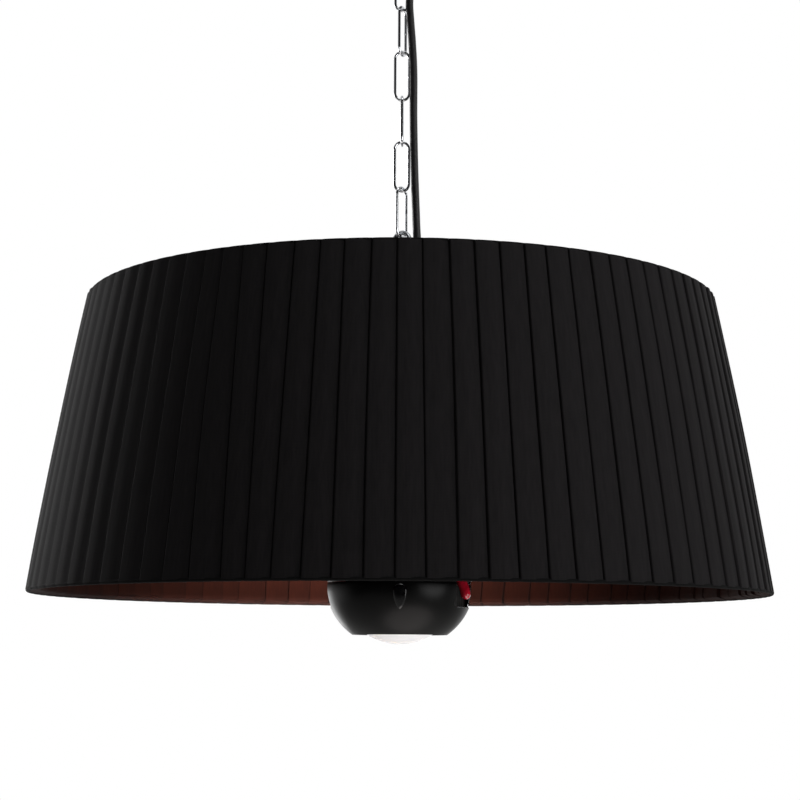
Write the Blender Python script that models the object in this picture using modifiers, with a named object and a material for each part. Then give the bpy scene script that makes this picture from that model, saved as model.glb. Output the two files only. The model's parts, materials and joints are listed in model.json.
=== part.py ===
"""Hanging patio heater: a pleated shade round a ball-shaped halogen heater, hung from the ceiling by a chain."""

import math

import bmesh
import bpy
from mathutils import Matrix, Vector

# All lengths are in metres. The origin is on the ceiling, where the plate meets it, and the heater hangs below.
clearance = 0.0003
cut_overrun = 0.004
weld_distance = 0.00001

# Ceiling end
plate_disc_thick = 0.003
plate_rim_depth = 0.010
plate_rim_wall = 0.002
boss_radius = 0.008
canopy_radius = 0.0547
canopy_wall = 0.0015
canopy_depth = 0.0345
canopy_bevel = 0.0045
ceiling_eye_drop = 0.060
eye_wire = 0.004
eye_radius = 0.009
locknut_radius = 0.006
locknut_height = 0.0045
canopy_screw_radius = 0.0015
canopy_screw_length = 0.009
canopy_screw_head_radius = 0.003
canopy_screw_head_thick = 0.002
canopy_screw_depth = 0.006

# Chain
link_length = 0.045
link_width = 0.0146
link_wire = 0.0025
link_twists = (0, 63, 3, 88, 3, 50)

# Supply cable: its route's points are across, toward the back, and up from the shade's lower rim
cable_diameter = 0.0066
cable_route = (
    (0.0140, -0.0090, 0.5678),
    (0.0140, -0.0090, 0.5568),
    (0.0115, -0.0078, 0.5398),
    (0.0077, -0.0062, 0.5218),
    (0.0059, -0.0053, 0.5043),
    (0.0068, -0.0052, 0.4883),
    (0.0084, -0.0052, 0.4670),
    (0.0096, -0.0052, 0.4415),
    (0.0097, -0.0052, 0.4020),
    (0.0106, -0.0052, 0.3600),
    (0.0120, -0.0052, 0.3220),
    (0.0129, -0.0053, 0.3013),
    (0.0148, -0.0056, 0.2790),
    (0.0160, -0.0060, 0.2540),
    (0.0160, -0.0060, 0.2223),
)
cable_steps = 2
grip_radius = 0.007
grip_height = 0.0047
grip_neck_radius = 0.0055
grip_neck_height = 0.005

# Hanger and top plate, with heights from the shade's lower rim
eye_rise = 0.0629
bolt_radius = 0.003
hanger_nut_radius = 0.0065
hanger_nut_height = 0.005
bolt_end = 0.002
top_plate_height = 0.232
top_plate_thick = 0.003
top_plate_overhang = 0.002
gland_radius = 0.0085
gland_height = 0.008
gland_nut_radius = 0.0075
gland_nut_height = 0.0085
gland_neck_radius = 0.0055
gland_neck_length = 0.002
plate_screw_radius = 0.0018
plate_screw_length = 0.007
plate_screw_head_radius = 0.0035
plate_screw_head_thick = 0.002
plate_screw_inset = 0.0035
plate_screw_count = 3

# Shade
shade_above_plate = 0.004
shade_bottom_radius = 0.300
shade_taper = 0.0413
shade_bulge = 0.0015
pleat_count = 90
pleat_rise = 0.0015
pleat_gap_share = 0.06
pleat_phase = -0.6
cover_thick = 0.001
lining_thick = 0.0005
hem_wire = 0.003
trim_wire = 0.002
ring_wire = 0.004
bottom_ring_height = 0.0055
arm_wire = 0.004
arm_count = 3
shade_steps = 48

# Control can under the top plate
housing_radius = 0.052
housing_wall = 0.0015
housing_above_shield = 0.0088
housing_flange_width = 0.0075
housing_flange_thick = 0.002
base_rim_height = 0.008
base_hole_radius = 0.010
board_inset = 0.0125
board_thick = 0.0016
board_drop = 0.0120
board_offset = 0.0020
terminal_drop = 0.0100
terminal_size = (0.020, 0.014, 0.017)
relay_size = (0.030, 0.018, 0.026)
relay_height_share = 0.268
module_size = (0.034, 0.006, 0.022)
module_height_share = 0.582

# Ball-shaped head
ball_radius = 0.0600
ball_half_height = 0.051
ball_centre_height = 0.0075
ball_wall = 0.0015
seam_height = 0.0105
opening_height = -0.0315
neck_radius = 0.022
neck_wall = 0.0015
shield_above_ball = 0.0065
shield_thick = 0.0012
shield_radius = 0.048
shield_drop = 0.003
window_half_angle = 26
window_bottom = -0.011
window_azimuths = (75, -105)
baffle_height = -0.0295
baffle_thick = 0.0015
baffle_inner_radius = 0.033
lens_width = 0.011
lens_top = 0.0080
lens_tip = -0.0120
lens_proud = 0.0008

# Ruby lamps, each leaning inward above its window
lamp_radius = 0.0042
lamp_length = 0.026
lamp_lean = 25
lamp_tip_radius = 0.0562
lamp_tip_height = -0.0039
lamp_cap_radius = 0.006
lamp_cap_length = 0.010
lamp_holder_radius = 0.007
lamp_holder_length = 0.0077
bracket_thick = 0.0015
bracket_radius = 0.0366
reflector_depth = 0.005
reflector_back_radius = 0.0437
reflector_half_width = 0.0213
reflector_thick = 0.0008
reflector_bottom = -0.011
reflector_top = 0.008

# Opal bulb
bulb_radius = 0.0315
bulb_face_radius = 0.050
bulb_bottom = -0.039
bulb_neck_radius = 0.0127
bulb_neck_height = 0.030
bulb_shoulder = 0.006
bulb_end_height = 0.034
bulb_cap_radius = 0.0132
bulb_cap_length = 0.022
holder_wall = 0.0034
holder_bottom = 0.0375
holder_top_wall = 0.003
holder_flange_thick = 0.002
holder_flange_wall = 0.0025

# Heights along the chain, from the ceiling down
link_step = link_length - 2 * link_wire - clearance
eye_seat = (eye_wire + link_wire) / 2 + clearance
first_link_top = -ceiling_eye_drop + eye_seat
last_link_bottom = first_link_top - (len(link_twists) - 1) * link_step - (link_length - link_wire)
hanger_eye_z = last_link_bottom + eye_seat - eye_radius
eye_height = top_plate_height + eye_rise
rim_z = hanger_eye_z - eye_height

# Sizes that follow from the ones above
canopy_bottom = -canopy_depth
cable_bore = cable_diameter / 2 + clearance
grip_place = cable_route[0][:2]
gland_place = cable_route[-1][:2]
top_plate_top = top_plate_height + top_plate_thick
housing_inner_radius = housing_radius - housing_wall
housing_flange_radius = housing_inner_radius - housing_flange_width
board_width = 2 * (housing_inner_radius - board_inset)
top_plate_radius = housing_radius + top_plate_overhang
plate_screw_circle = housing_inner_radius - plate_screw_inset
shade_height = top_plate_top + shade_above_plate
shade_top_radius = shade_bottom_radius - shade_taper
ball_top = ball_centre_height + ball_half_height
shield_height = ball_top + shield_above_ball
housing_height = shield_height + shield_thick + housing_above_shield
neck_top = housing_height - clearance
bracket_height = (
    lamp_tip_height
    + (lamp_length + lamp_cap_length + lamp_holder_length + 2 * clearance) * math.cos(math.radians(lamp_lean))
    + lamp_holder_radius * math.sin(math.radians(lamp_lean))
    + clearance
)
neck_bottom = bracket_height + bracket_thick + clearance
holder_radius = bulb_cap_radius + clearance + holder_wall
skin_depth = pleat_rise + cover_thick + clearance


def clearScene():
    """Empties the scene, so that nothing but the heater is in it."""
    for old in list(bpy.data.objects):
        bpy.data.objects.remove(old)


def newCollection(name):
    """Adds a collection to the scene and returns it."""
    made = bpy.data.collections.new(name)
    bpy.context.scene.collection.children.link(made)
    return made


def newMaterial(name, colour, roughness, metallic=0.0):
    """A plain surface with one colour, given as linear red, green and blue."""
    made = bpy.data.materials.new(name)
    made.use_nodes = True
    shader = made.node_tree.nodes["Principled BSDF"]
    shader.inputs["Base Color"].default_value = (*colour, 1.0)
    shader.inputs["Roughness"].default_value = roughness
    shader.inputs["Metallic"].default_value = metallic
    return made


clearScene()
heater = newCollection("hanging_patio_heater")
cutters = newCollection("cutters")
chrome = newMaterial("chrome", (0.75, 0.75, 0.76), 0.08, 1.0)
blackMetal = newMaterial("black_metal", (0.012, 0.012, 0.013), 0.18)
blackFabric = newMaterial("black_fabric", (0.012, 0.012, 0.013), 0.9)
brownLining = newMaterial("brown_lining", (0.030, 0.012, 0.010), 0.7)
blackRubber = newMaterial("black_rubber", (0.010, 0.010, 0.010), 0.6)
blackPlastic = newMaterial("black_plastic", (0.010, 0.010, 0.011), 0.35)
whitePlastic = newMaterial("white_plastic", (0.70, 0.70, 0.66), 0.5)
steel = newMaterial("steel", (0.45, 0.45, 0.45), 0.35, 1.0)
mirrorMetal = newMaterial("polished_aluminium", (0.80, 0.80, 0.82), 0.10, 1.0)
rubyGlass = newMaterial("ruby_glass", (0.30, 0.004, 0.012), 0.05)
opalGlass = newMaterial("opal_glass", (0.85, 0.84, 0.80), 0.25)
greenBoard = newMaterial("circuit_board", (0.01, 0.10, 0.03), 0.5)


def keep(made, name, surface):
    """Names the object, gives it its material and moves it to the heater's collection."""
    made.name = name
    made.data.name = name
    made.data.materials.clear()
    made.data.materials.append(surface)
    for holder in list(made.users_collection):
        holder.objects.unlink(made)
    heater.objects.link(made)
    return made


def hide(made):
    """Moves the object to the cutters' collection and leaves it out of the finished heater."""
    for holder in list(made.users_collection):
        holder.objects.unlink(made)
    cutters.objects.link(made)
    made.hide_render = True
    made.display_type = "WIRE"
    return made


def fromBmesh(shape, name, surface):
    """Turns a bmesh into a kept object, shaded smooth but for its sharp edges."""
    bmesh.ops.recalc_face_normals(shape, faces=shape.faces)
    mesh = bpy.data.meshes.new(name)
    shape.to_mesh(mesh)
    shape.free()
    mesh.shade_smooth()
    mesh.set_sharp_from_angle(angle=math.radians(35))
    made = bpy.data.objects.new(name, mesh)
    heater.objects.link(made)
    return keep(made, name, surface)


def turned(name, outline, surface, steps=28):
    """Turns an outline of (radius, height) points about Z. Its ends are both on the axis, or it is a closed loop."""
    area = sum(a[0] * b[1] - b[0] * a[1] for a, b in zip(outline, outline[1:] + outline[:1]))
    points = list(outline) if area < 0 else list(reversed(outline))
    closed = min(points[0][0], points[-1][0]) > 0
    mesh = bpy.data.meshes.new(name)
    edges = [(i, i + 1) for i in range(len(points) - 1)]
    if closed:
        edges.append((len(points) - 1, 0))
    mesh.from_pydata([(radius, 0, height) for radius, height in points], edges, [])
    made = bpy.data.objects.new(name, mesh)
    heater.objects.link(made)
    screw = made.modifiers.new("turn", "SCREW")
    screw.steps = steps
    screw.render_steps = steps
    screw.use_merge_vertices = True
    screw.merge_threshold = weld_distance
    return keep(made, name, surface)


def block(name, size, centre, surface):
    """A box of a given size."""
    shape = bmesh.new()
    bmesh.ops.create_cube(shape, size=1, matrix=Matrix.Translation(centre) @ Matrix.Diagonal((*size, 1)))
    return fromBmesh(shape, name, surface)


def rod(name, radius, start, end, surface, sides=16):
    """A round bar between two points. With 6 sides it is a hexagon nut."""
    start = Vector(start)
    end = Vector(end)
    turn = (end - start).to_track_quat("Z", "Y").to_matrix().to_4x4()
    shape = bmesh.new()
    bmesh.ops.create_cone(
        shape,
        cap_ends=True,
        segments=sides,
        radius1=radius,
        radius2=radius,
        depth=(end - start).length,
        matrix=Matrix.Translation((start + end) / 2) @ turn,
    )
    return fromBmesh(shape, name, surface)


def wireRing(name, radius, wire, centre, surface, steps=shade_steps, upright=False):
    """A ring of round wire, lying flat or upright in the plane of Y and Z."""
    bpy.ops.mesh.primitive_torus_add(
        major_radius=radius,
        minor_radius=wire / 2,
        major_segments=steps,
        minor_segments=6,
        location=centre,
        rotation=(0, math.pi / 2 if upright else 0, 0),
    )
    made = bpy.context.object
    made.data.shade_smooth()
    return keep(made, name, surface)


def tube(name, points, wire, surface, closed=False, roundness=1):
    """A wire or cable through the points."""
    curve = bpy.data.curves.new(name, "CURVE")
    curve.dimensions = "3D"
    curve.bevel_depth = wire / 2
    curve.bevel_resolution = roundness
    curve.use_fill_caps = True
    spline = curve.splines.new("POLY")
    spline.points.add(len(points) - 1)
    for place, point in zip(spline.points, points):
        place.co = (*point, 1)
    spline.use_cyclic_u = closed
    made = bpy.data.objects.new(name, curve)
    heater.objects.link(made)
    return keep(made, name, surface)


def boolean(made, other, operation):
    """Cuts the other object from this one, joins them or keeps what they share. The other is hidden."""
    step = made.modifiers.new(other.name, "BOOLEAN")
    step.operation = operation
    step.object = hide(other)
    return made


def cut(made, other):
    return boolean(made, other, "DIFFERENCE")


def placed(made, matrix):
    """Sets the object's place and turn."""
    made.matrix_world = matrix
    return made


def heaterPoint(across, back, height):
    """A point whose height is measured from the shade's lower rim."""
    return Vector((across, back, rim_z + height))


def heaterTurned(name, outline, surface, steps=28):
    """A turned piece on the heater's axis, with heights from the shade's lower rim."""
    made = turned(name, outline, surface, steps)
    made.location = (0, 0, rim_z)
    return made


def discOutline(outer, inner, low, high):
    """The outline of a flat ring between two heights."""
    return [(outer, high), (outer, low), (inner, low), (inner, high)]


def facing(azimuth):
    """The turn that brings +X to a direction, in degrees from the front toward the right."""
    return Matrix.Rotation(math.radians(azimuth - 90), 4, "Z")


def makeEye(name, ring_z, shank_top, shank_bottom, radius, surface):
    """A ring of wire, upright in the plane of Y and Z, joined to a round shank."""
    made = wireRing(name, eye_radius, eye_wire, (0, 0, ring_z), surface, steps=24, upright=True)
    shank = rod(name + "_shank", radius, (0, 0, shank_bottom), (0, 0, shank_top), surface, sides=12)
    return boolean(made, shank, "UNION")


def makeCeilingEnd():
    """The plate on the ceiling, the canopy over it, the eye with its locknut, two screws and the cord grip."""
    rim_radius = canopy_radius - canopy_wall - clearance
    shank_radius = eye_wire / 2
    bore = shank_radius + clearance
    boss_bottom = canopy_bottom + canopy_wall + clearance
    bore_top = -2 * plate_disc_thick
    plate = turned(
        "ceiling_plate",
        [
            (0, 0),
            (rim_radius, 0),
            (rim_radius, -plate_rim_depth),
            (rim_radius - plate_rim_wall, -plate_rim_depth),
            (rim_radius - plate_rim_wall, -plate_disc_thick),
            (boss_radius, -plate_disc_thick),
            (boss_radius, boss_bottom),
            (bore, boss_bottom),
            (bore, bore_top),
            (0, bore_top),
        ],
        steel,
    )
    inner = canopy_radius - canopy_wall
    canopy = turned(
        "ceiling_canopy",
        [
            (canopy_radius, -clearance),
            (canopy_radius, canopy_bottom + canopy_bevel),
            (canopy_radius - canopy_bevel, canopy_bottom),
            (bore, canopy_bottom),
            (bore, canopy_bottom + canopy_wall),
            (inner - canopy_bevel, canopy_bottom + canopy_wall),
            (inner, canopy_bottom + canopy_wall + canopy_bevel),
            (inner, -clearance),
        ],
        blackMetal,
    )
    for side, word in ((-1, "left"), (1, "right")):
        outside = side * (canopy_radius + clearance)
        head = rod(
            "canopy_screw_" + word,
            canopy_screw_head_radius,
            (outside, 0, -canopy_screw_depth),
            (outside + side * canopy_screw_head_thick, 0, -canopy_screw_depth),
            chrome,
            sides=12,
        )
        shank = rod(
            "canopy_screw_shank_" + word,
            canopy_screw_radius,
            (outside + side * canopy_screw_head_thick / 2, 0, -canopy_screw_depth),
            (outside - side * canopy_screw_length, 0, -canopy_screw_depth),
            chrome,
            sides=8,
        )
        boolean(head, shank, "UNION")
        hole = rod(
            "canopy_screw_hole_" + word,
            canopy_screw_radius + clearance,
            (outside + side * cut_overrun, 0, -canopy_screw_depth),
            (outside - side * canopy_screw_length, 0, -canopy_screw_depth),
            steel,
            sides=8,
        )
        cut(canopy, hole)
        cut(plate, hole)
    ring_z = -ceiling_eye_drop + eye_radius
    makeEye("ceiling_eye", ring_z, bore_top - clearance, ring_z + eye_radius, shank_radius, chrome)
    nut_top = canopy_bottom - clearance
    nut = rod("eye_locknut", locknut_radius, (0, 0, nut_top - locknut_height), (0, 0, nut_top), chrome, sides=6)
    nut_ends = (0, 0, nut_top - 2 * locknut_height), (0, 0, nut_top + cut_overrun)
    cut(nut, rod("locknut_bore", bore, *nut_ends, steel, 12))
    grip_hole = rod(
        "grip_hole",
        grip_neck_radius + clearance,
        (*grip_place, canopy_bottom - cut_overrun),
        (*grip_place, canopy_bottom + cut_overrun),
        steel,
    )
    cut(canopy, grip_hole)
    grip = turned(
        "ceiling_cord_grip",
        [
            (grip_neck_radius, grip_neck_height),
            (grip_neck_radius, -clearance),
            (grip_radius, -clearance),
            (grip_radius, -clearance - grip_height),
            (cable_bore, -clearance - grip_height),
            (cable_bore, grip_neck_height),
        ],
        blackPlastic,
        16,
    )
    grip.location = (*grip_place, canopy_bottom)


def makeLink(index):
    """One long chain link, hanging from the wire that carries it. Its origin is on that wire's axis."""
    bend = (link_width - link_wire) / 2
    drop = first_link_top - index * link_step
    carrier = -ceiling_eye_drop if index == 0 else drop - link_wire - clearance
    top = drop - carrier
    low = top - (link_length - link_wire)
    arc = [math.radians(30 * step) for step in range(7)]
    points = [(bend * math.cos(a), 0, top - bend + bend * math.sin(a)) for a in arc]
    points += [(-bend * math.cos(a), 0, low + bend - bend * math.sin(a)) for a in arc]
    made = tube(f"chain_link_{index + 1}", points, link_wire, chrome, closed=True)
    turn = Matrix.Rotation(math.radians(link_twists[index]), 4, "Z")
    placed(made, Matrix.Translation((0, 0, carrier)) @ turn)


def smoothRoute(route, steps):
    """Points on a smooth curve through the route, with its first and last runs kept straight."""
    knots = [Vector(point) for point in route]
    points = [knots[0]]
    for i in range(1, len(knots) - 2):
        before, start, end, after = knots[i - 1 : i + 3]
        pull = (end - before) / 2
        push = (after - start) / 2
        for step in range(steps):
            t = step / steps
            points.append(
                start * (2 * t**3 - 3 * t**2 + 1)
                + pull * (t**3 - 2 * t**2 + t)
                + end * (3 * t**2 - 2 * t**3)
                + push * (t**3 - t**2)
            )
    return points + knots[-2:]


def makeCable():
    """The mains cable, from the cord grip down beside the chain, through the gland to the terminal block."""
    route = [heaterPoint(*point) for point in cable_route]
    tube("supply_cable", smoothRoute(route, cable_steps), cable_diameter, blackRubber, roundness=2)


def makeHanger():
    """The eye bolt with its two nuts, the top plate with its screws, and the cable gland."""
    shank_low = top_plate_height - clearance - hanger_nut_height - bolt_end
    shank_high = eye_height - eye_radius
    bolt = makeEye("eye_bolt", 0, shank_high - eye_height, shank_low - eye_height, bolt_radius, steel)
    for piece in [bolt] + [step.object for step in bolt.modifiers]:
        piece.matrix_world = (
            Matrix.Translation((0, 0, hanger_eye_z))
            @ Matrix.Rotation(math.radians(link_twists[-1]), 4, "Z")
            @ piece.matrix_world
        )
    nut_places = {
        "hanger_nut_upper": top_plate_top + clearance,
        "hanger_nut_lower": top_plate_height - clearance - hanger_nut_height,
    }
    bore = rod(
        "bolt_bore",
        bolt_radius + clearance,
        heaterPoint(0, 0, shank_low - cut_overrun),
        heaterPoint(0, 0, top_plate_top + hanger_nut_height + cut_overrun),
        steel,
        12,
    )
    for name, low in nut_places.items():
        nut = rod(
            name, hanger_nut_radius, heaterPoint(0, 0, low), heaterPoint(0, 0, low + hanger_nut_height), steel, 6
        )
        cut(nut, bore)
    plate_outline = [
        (0, top_plate_top),
        (top_plate_radius, top_plate_top),
        (top_plate_radius, top_plate_height),
        (0, top_plate_height),
    ]
    plate = heaterTurned("top_plate", plate_outline, blackMetal, 32)
    cut(plate, bore)
    gland_hole = rod(
        "gland_hole",
        gland_neck_radius + clearance,
        heaterPoint(*gland_place, top_plate_height - cut_overrun),
        heaterPoint(*gland_place, top_plate_top + cut_overrun),
        steel,
    )
    cut(plate, gland_hole)
    gland = turned(
        "cable_gland",
        [
            (gland_radius, gland_height),
            (gland_radius, 0),
            (gland_neck_radius, 0),
            (gland_neck_radius, -gland_neck_length),
            (cable_bore, -gland_neck_length),
            (cable_bore, gland_height),
        ],
        blackPlastic,
        16,
    )
    gland.location = heaterPoint(*gland_place, top_plate_top + clearance)
    nut_outline = discOutline(gland_nut_radius, cable_bore, 0, gland_nut_height)
    nut = turned("gland_nut", nut_outline, blackPlastic, 16)
    nut.location = heaterPoint(*gland_place, top_plate_top + gland_height + 2 * clearance)
    return plate


def makePlateScrews(plate, housing):
    """The screws that hold the can up to the top plate, and their holes in both."""
    for index in range(plate_screw_count):
        turn = math.radians(30 + 360 * index / plate_screw_count)
        across = plate_screw_circle * math.cos(turn)
        back = plate_screw_circle * math.sin(turn)
        head_low = top_plate_top + clearance
        head = rod(
            f"plate_screw_{index + 1}",
            plate_screw_head_radius,
            heaterPoint(across, back, head_low),
            heaterPoint(across, back, head_low + plate_screw_head_thick),
            chrome,
            sides=12,
        )
        low = head_low - plate_screw_length
        middle = head_low + plate_screw_head_thick / 2
        ends = heaterPoint(across, back, low), heaterPoint(across, back, middle)
        boolean(head, rod(f"plate_screw_shank_{index + 1}", plate_screw_radius, *ends, chrome, sides=8), "UNION")
        hole = rod(
            f"plate_screw_hole_{index + 1}",
            plate_screw_radius + clearance,
            heaterPoint(across, back, low - cut_overrun),
            heaterPoint(across, back, head_low + cut_overrun),
            steel,
            sides=8,
        )
        cut(plate, hole)
        cut(housing, hole)


def shadeRadius(height, inset=0.0):
    """The shade's outer radius at a height, with its slight bulge, less an inset."""
    share = height / shade_height
    straight = shade_bottom_radius + (shade_top_radius - shade_bottom_radius) * share
    return straight + 4 * shade_bulge * share * (1 - share) - inset


def makeCover():
    """The pleated cover: knife pleats whose proud folds are on the left, over a smooth inner face."""
    low = hem_wire + clearance
    high = shade_height - trim_wire - clearance
    levels = (low, (low + high) / 2, high)
    shape = bmesh.new()
    columns = []
    for pleat in range(pleat_count):
        for share, rise in ((0, 0), (1 - pleat_gap_share, pleat_rise)):
            turn = math.radians(360 * (pleat + share) / pleat_count + pleat_phase - 90)
            column = [(shadeRadius(level, rise), level) for level in levels]
            column += [(shadeRadius(level, pleat_rise + cover_thick), level) for level in reversed(levels)]
            columns.append(
                [shape.verts.new((r * math.cos(turn), r * math.sin(turn), z)) for r, z in column]
            )
    for left, right in zip(columns, columns[1:] + columns[:1]):
        for i in range(len(left)):
            j = (i + 1) % len(left)
            shape.faces.new((left[i], right[i], right[j], left[j]))
    made = fromBmesh(shape, "shade_cover", blackFabric)
    made.location = (0, 0, rim_z)


def makeShade():
    """Cover, lining, hem, trim, the two wire rings and the spider arms."""
    makeCover()
    low = hem_wire + clearance
    high = shade_height - trim_wire - clearance
    levels = (low, (low + high) / 2, high)
    inner = [(shadeRadius(level, skin_depth + lining_thick), level) for level in levels]
    outer = [(shadeRadius(level, skin_depth), level) for level in reversed(levels)]
    heaterTurned("shade_lining", inner + outer, brownLining, shade_steps)
    middle = pleat_rise / 2 + cover_thick
    hem_height = hem_wire / 2
    hem_radius = shadeRadius(hem_height, max(hem_wire / 2, middle))
    wireRing("shade_hem", hem_radius, hem_wire, heaterPoint(0, 0, hem_height), blackFabric)
    trim_height = shade_height - trim_wire / 2
    trim_radius = shadeRadius(trim_height, max(trim_wire / 2, middle))
    wireRing("shade_top_trim", trim_radius, trim_wire, heaterPoint(0, 0, trim_height), blackFabric)
    ring_inset = skin_depth + lining_thick + clearance + ring_wire / 2
    ring_height = top_plate_height + top_plate_thick / 2
    top_ring_radius = shadeRadius(ring_height, ring_inset)
    wireRing("shade_top_ring", top_ring_radius, ring_wire, heaterPoint(0, 0, ring_height), blackMetal)
    bottom_radius = shadeRadius(bottom_ring_height, ring_inset)
    wireRing("shade_bottom_ring", bottom_radius, ring_wire, heaterPoint(0, 0, bottom_ring_height), blackMetal)
    for index in range(arm_count):
        turn = math.radians(90 + 360 * index / arm_count)
        start = top_plate_radius + clearance
        end = top_ring_radius - ring_wire / 2 - clearance
        rod(
            f"spider_arm_{index + 1}",
            arm_wire / 2,
            heaterPoint(start * math.cos(turn), start * math.sin(turn), ring_height),
            heaterPoint(end * math.cos(turn), end * math.sin(turn), ring_height),
            blackMetal,
            sides=8,
        )


def makeControlCan():
    """The can under the top plate, its base, and the electrics inside it."""
    inner = housing_inner_radius
    high = top_plate_height - clearance
    housing = heaterTurned(
        "control_housing",
        [
            (housing_radius, high),
            (housing_radius, housing_height),
            (inner, housing_height),
            (inner, high - housing_flange_thick),
            (housing_flange_radius, high - housing_flange_thick),
            (housing_flange_radius, high),
        ],
        blackMetal,
        32,
    )
    base_radius = inner - clearance
    floor = housing_height + housing_wall
    heaterTurned(
        "housing_base",
        [
            (base_radius, housing_height + base_rim_height),
            (base_radius, housing_height),
            (base_hole_radius, housing_height),
            (base_hole_radius, floor),
            (base_radius - housing_wall, floor),
            (base_radius - housing_wall, housing_height + base_rim_height),
        ],
        blackMetal,
        32,
    )
    board_low = floor + clearance
    board_height = top_plate_height - board_drop - board_low
    board_centre = heaterPoint(0, board_offset + board_thick / 2, board_low + board_height / 2)
    block("control_board", (board_width, board_thick, board_height), board_centre, greenBoard)
    front = board_offset - clearance
    terminal_top = top_plate_height - terminal_drop
    pieces = (
        ("terminal_block", terminal_size, gland_place[0], terminal_top - terminal_size[2] / 2, whitePlastic),
        ("power_relay", relay_size, 0, board_low + board_height * relay_height_share, blackPlastic),
        ("receiver_module", module_size, 0, board_low + board_height * module_height_share, blackPlastic),
    )
    for name, size, across, height, surface in pieces:
        block(name, size, heaterPoint(across, front - size[1] / 2, height), surface)
    return housing


def ballArc(start, end, inset, steps):
    """Points (radius, height) on the ball's surface between two heights, set inward by an inset."""
    wide = ball_radius - inset
    tall = ball_half_height - inset
    first = math.asin((start - ball_centre_height) / tall)
    last = math.asin((end - ball_centre_height) / tall)
    turns = [first + (last - first) * step / steps for step in range(steps + 1)]
    return [(wide * math.cos(turn), ball_centre_height + tall * math.sin(turn)) for turn in turns]


def ballHeight(radius, inset=0.0):
    """The height of the ball's upper surface at a radius."""
    wide = ball_radius - inset
    tall = ball_half_height - inset
    return ball_centre_height + tall * math.sqrt(1 - (radius / wide) ** 2)


def lensPrism(name, grow, inner, outer):
    """A prism with the lens's drop shape, pointing to the front, between two distances from the axis."""
    round_radius = lens_width / 2 + grow
    centre = lens_top - lens_width / 2
    outline = [(0, lens_tip - grow)]
    for step in range(9):
        turn = math.radians(-15 + 210 * step / 8)
        outline.append((round_radius * math.cos(turn), centre + round_radius * math.sin(turn)))
    shape = bmesh.new()
    near = [shape.verts.new((x, -outer, z)) for x, z in outline]
    far = [shape.verts.new((x, -inner, z)) for x, z in outline]
    shape.faces.new(near)
    shape.faces.new(list(reversed(far)))
    for i in range(len(outline)):
        j = (i + 1) % len(outline)
        shape.faces.new((near[j], near[i], far[i], far[j]))
    made = fromBmesh(shape, name, blackPlastic)
    made.location = (0, 0, rim_z)
    return made


def makeBall():
    """The two shells of the head, with lamp windows and lens in the lower one, and the neck that carries them."""
    hole = neck_radius + clearance
    upper = ballArc(ballHeight(hole), seam_height, 0, 6) + ballArc(
        seam_height, ballHeight(hole, ball_wall), ball_wall, 6
    )
    heaterTurned("ball_upper_shell", upper, blackMetal, 32)
    top = seam_height - clearance
    lower = ballArc(top, opening_height, 0, 6) + ballArc(opening_height, top, ball_wall, 6)
    shell = heaterTurned("ball_lower_shell", lower, blackMetal, 32)
    window_width = 2 * ball_radius * math.sin(math.radians(window_half_angle))
    window_tall = seam_height + cut_overrun - window_bottom
    window_inner = reflector_back_radius
    window_deep = ball_radius + cut_overrun - window_inner
    for index, azimuth in enumerate(window_azimuths):
        window = block(f"window_{index + 1}", (window_deep, window_width, window_tall), (0, 0, 0), steel)
        place = Matrix.Translation((window_inner + window_deep / 2, 0, rim_z + window_bottom + window_tall / 2))
        placed(window, facing(azimuth) @ place)
        cut(shell, window)
    inner = ball_radius / 2
    outer = ball_radius + cut_overrun
    cut(shell, lensPrism("lens_hole", clearance, inner, outer))
    blank = ballArc(top, opening_height, -lens_proud, 6) + ballArc(opening_height, top, ball_wall, 6)
    lens = heaterTurned("receiver_lens", blank, blackPlastic, 32)
    boolean(lens, lensPrism("lens_outline", 0, inner, outer), "INTERSECT")
    neck = discOutline(neck_radius, neck_radius - neck_wall, neck_bottom, neck_top)
    heaterTurned("neck_tube", neck, steel, 24)
    shield_high = shield_height + shield_thick
    heaterTurned(
        "heat_shield",
        [
            (hole, shield_height),
            (hole, shield_high),
            (shield_radius - shield_drop, shield_high),
            (shield_radius, shield_high - shield_drop),
            (shield_radius, shield_height - shield_drop),
            (shield_radius - shield_drop, shield_height),
        ],
        mirrorMetal,
        24,
    )
    baffle_radius = ballArc(baffle_height, baffle_height, ball_wall, 1)[0][0] - clearance
    baffle = discOutline(baffle_radius, baffle_inner_radius, baffle_height, baffle_height + baffle_thick)
    heaterTurned("baffle_ring", baffle, blackMetal, 32)
    bracket = discOutline(bracket_radius, holder_radius + clearance, bracket_height, bracket_height + bracket_thick)
    heaterTurned("lamp_bracket", bracket, steel, 24)


def makeReflector(number, azimuth):
    """A polished trough behind the lamp, curved like a parabola in plan."""
    shape = bmesh.new()
    rows = []
    for height in (reflector_bottom, reflector_top):
        row = []
        for step in range(9):
            share = step / 4 - 1
            depth = reflector_back_radius + reflector_depth * share**2
            row.append(shape.verts.new((depth, reflector_half_width * share, height)))
        rows.append(row)
    for i in range(8):
        shape.faces.new((rows[0][i], rows[0][i + 1], rows[1][i + 1], rows[1][i]))
    made = fromBmesh(shape, f"reflector_{number}", mirrorMetal)
    wall = made.modifiers.new("wall", "SOLIDIFY")
    wall.thickness = reflector_thick
    wall.offset = 0
    placed(made, Matrix.Translation((0, 0, rim_z)) @ facing(azimuth))


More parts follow.
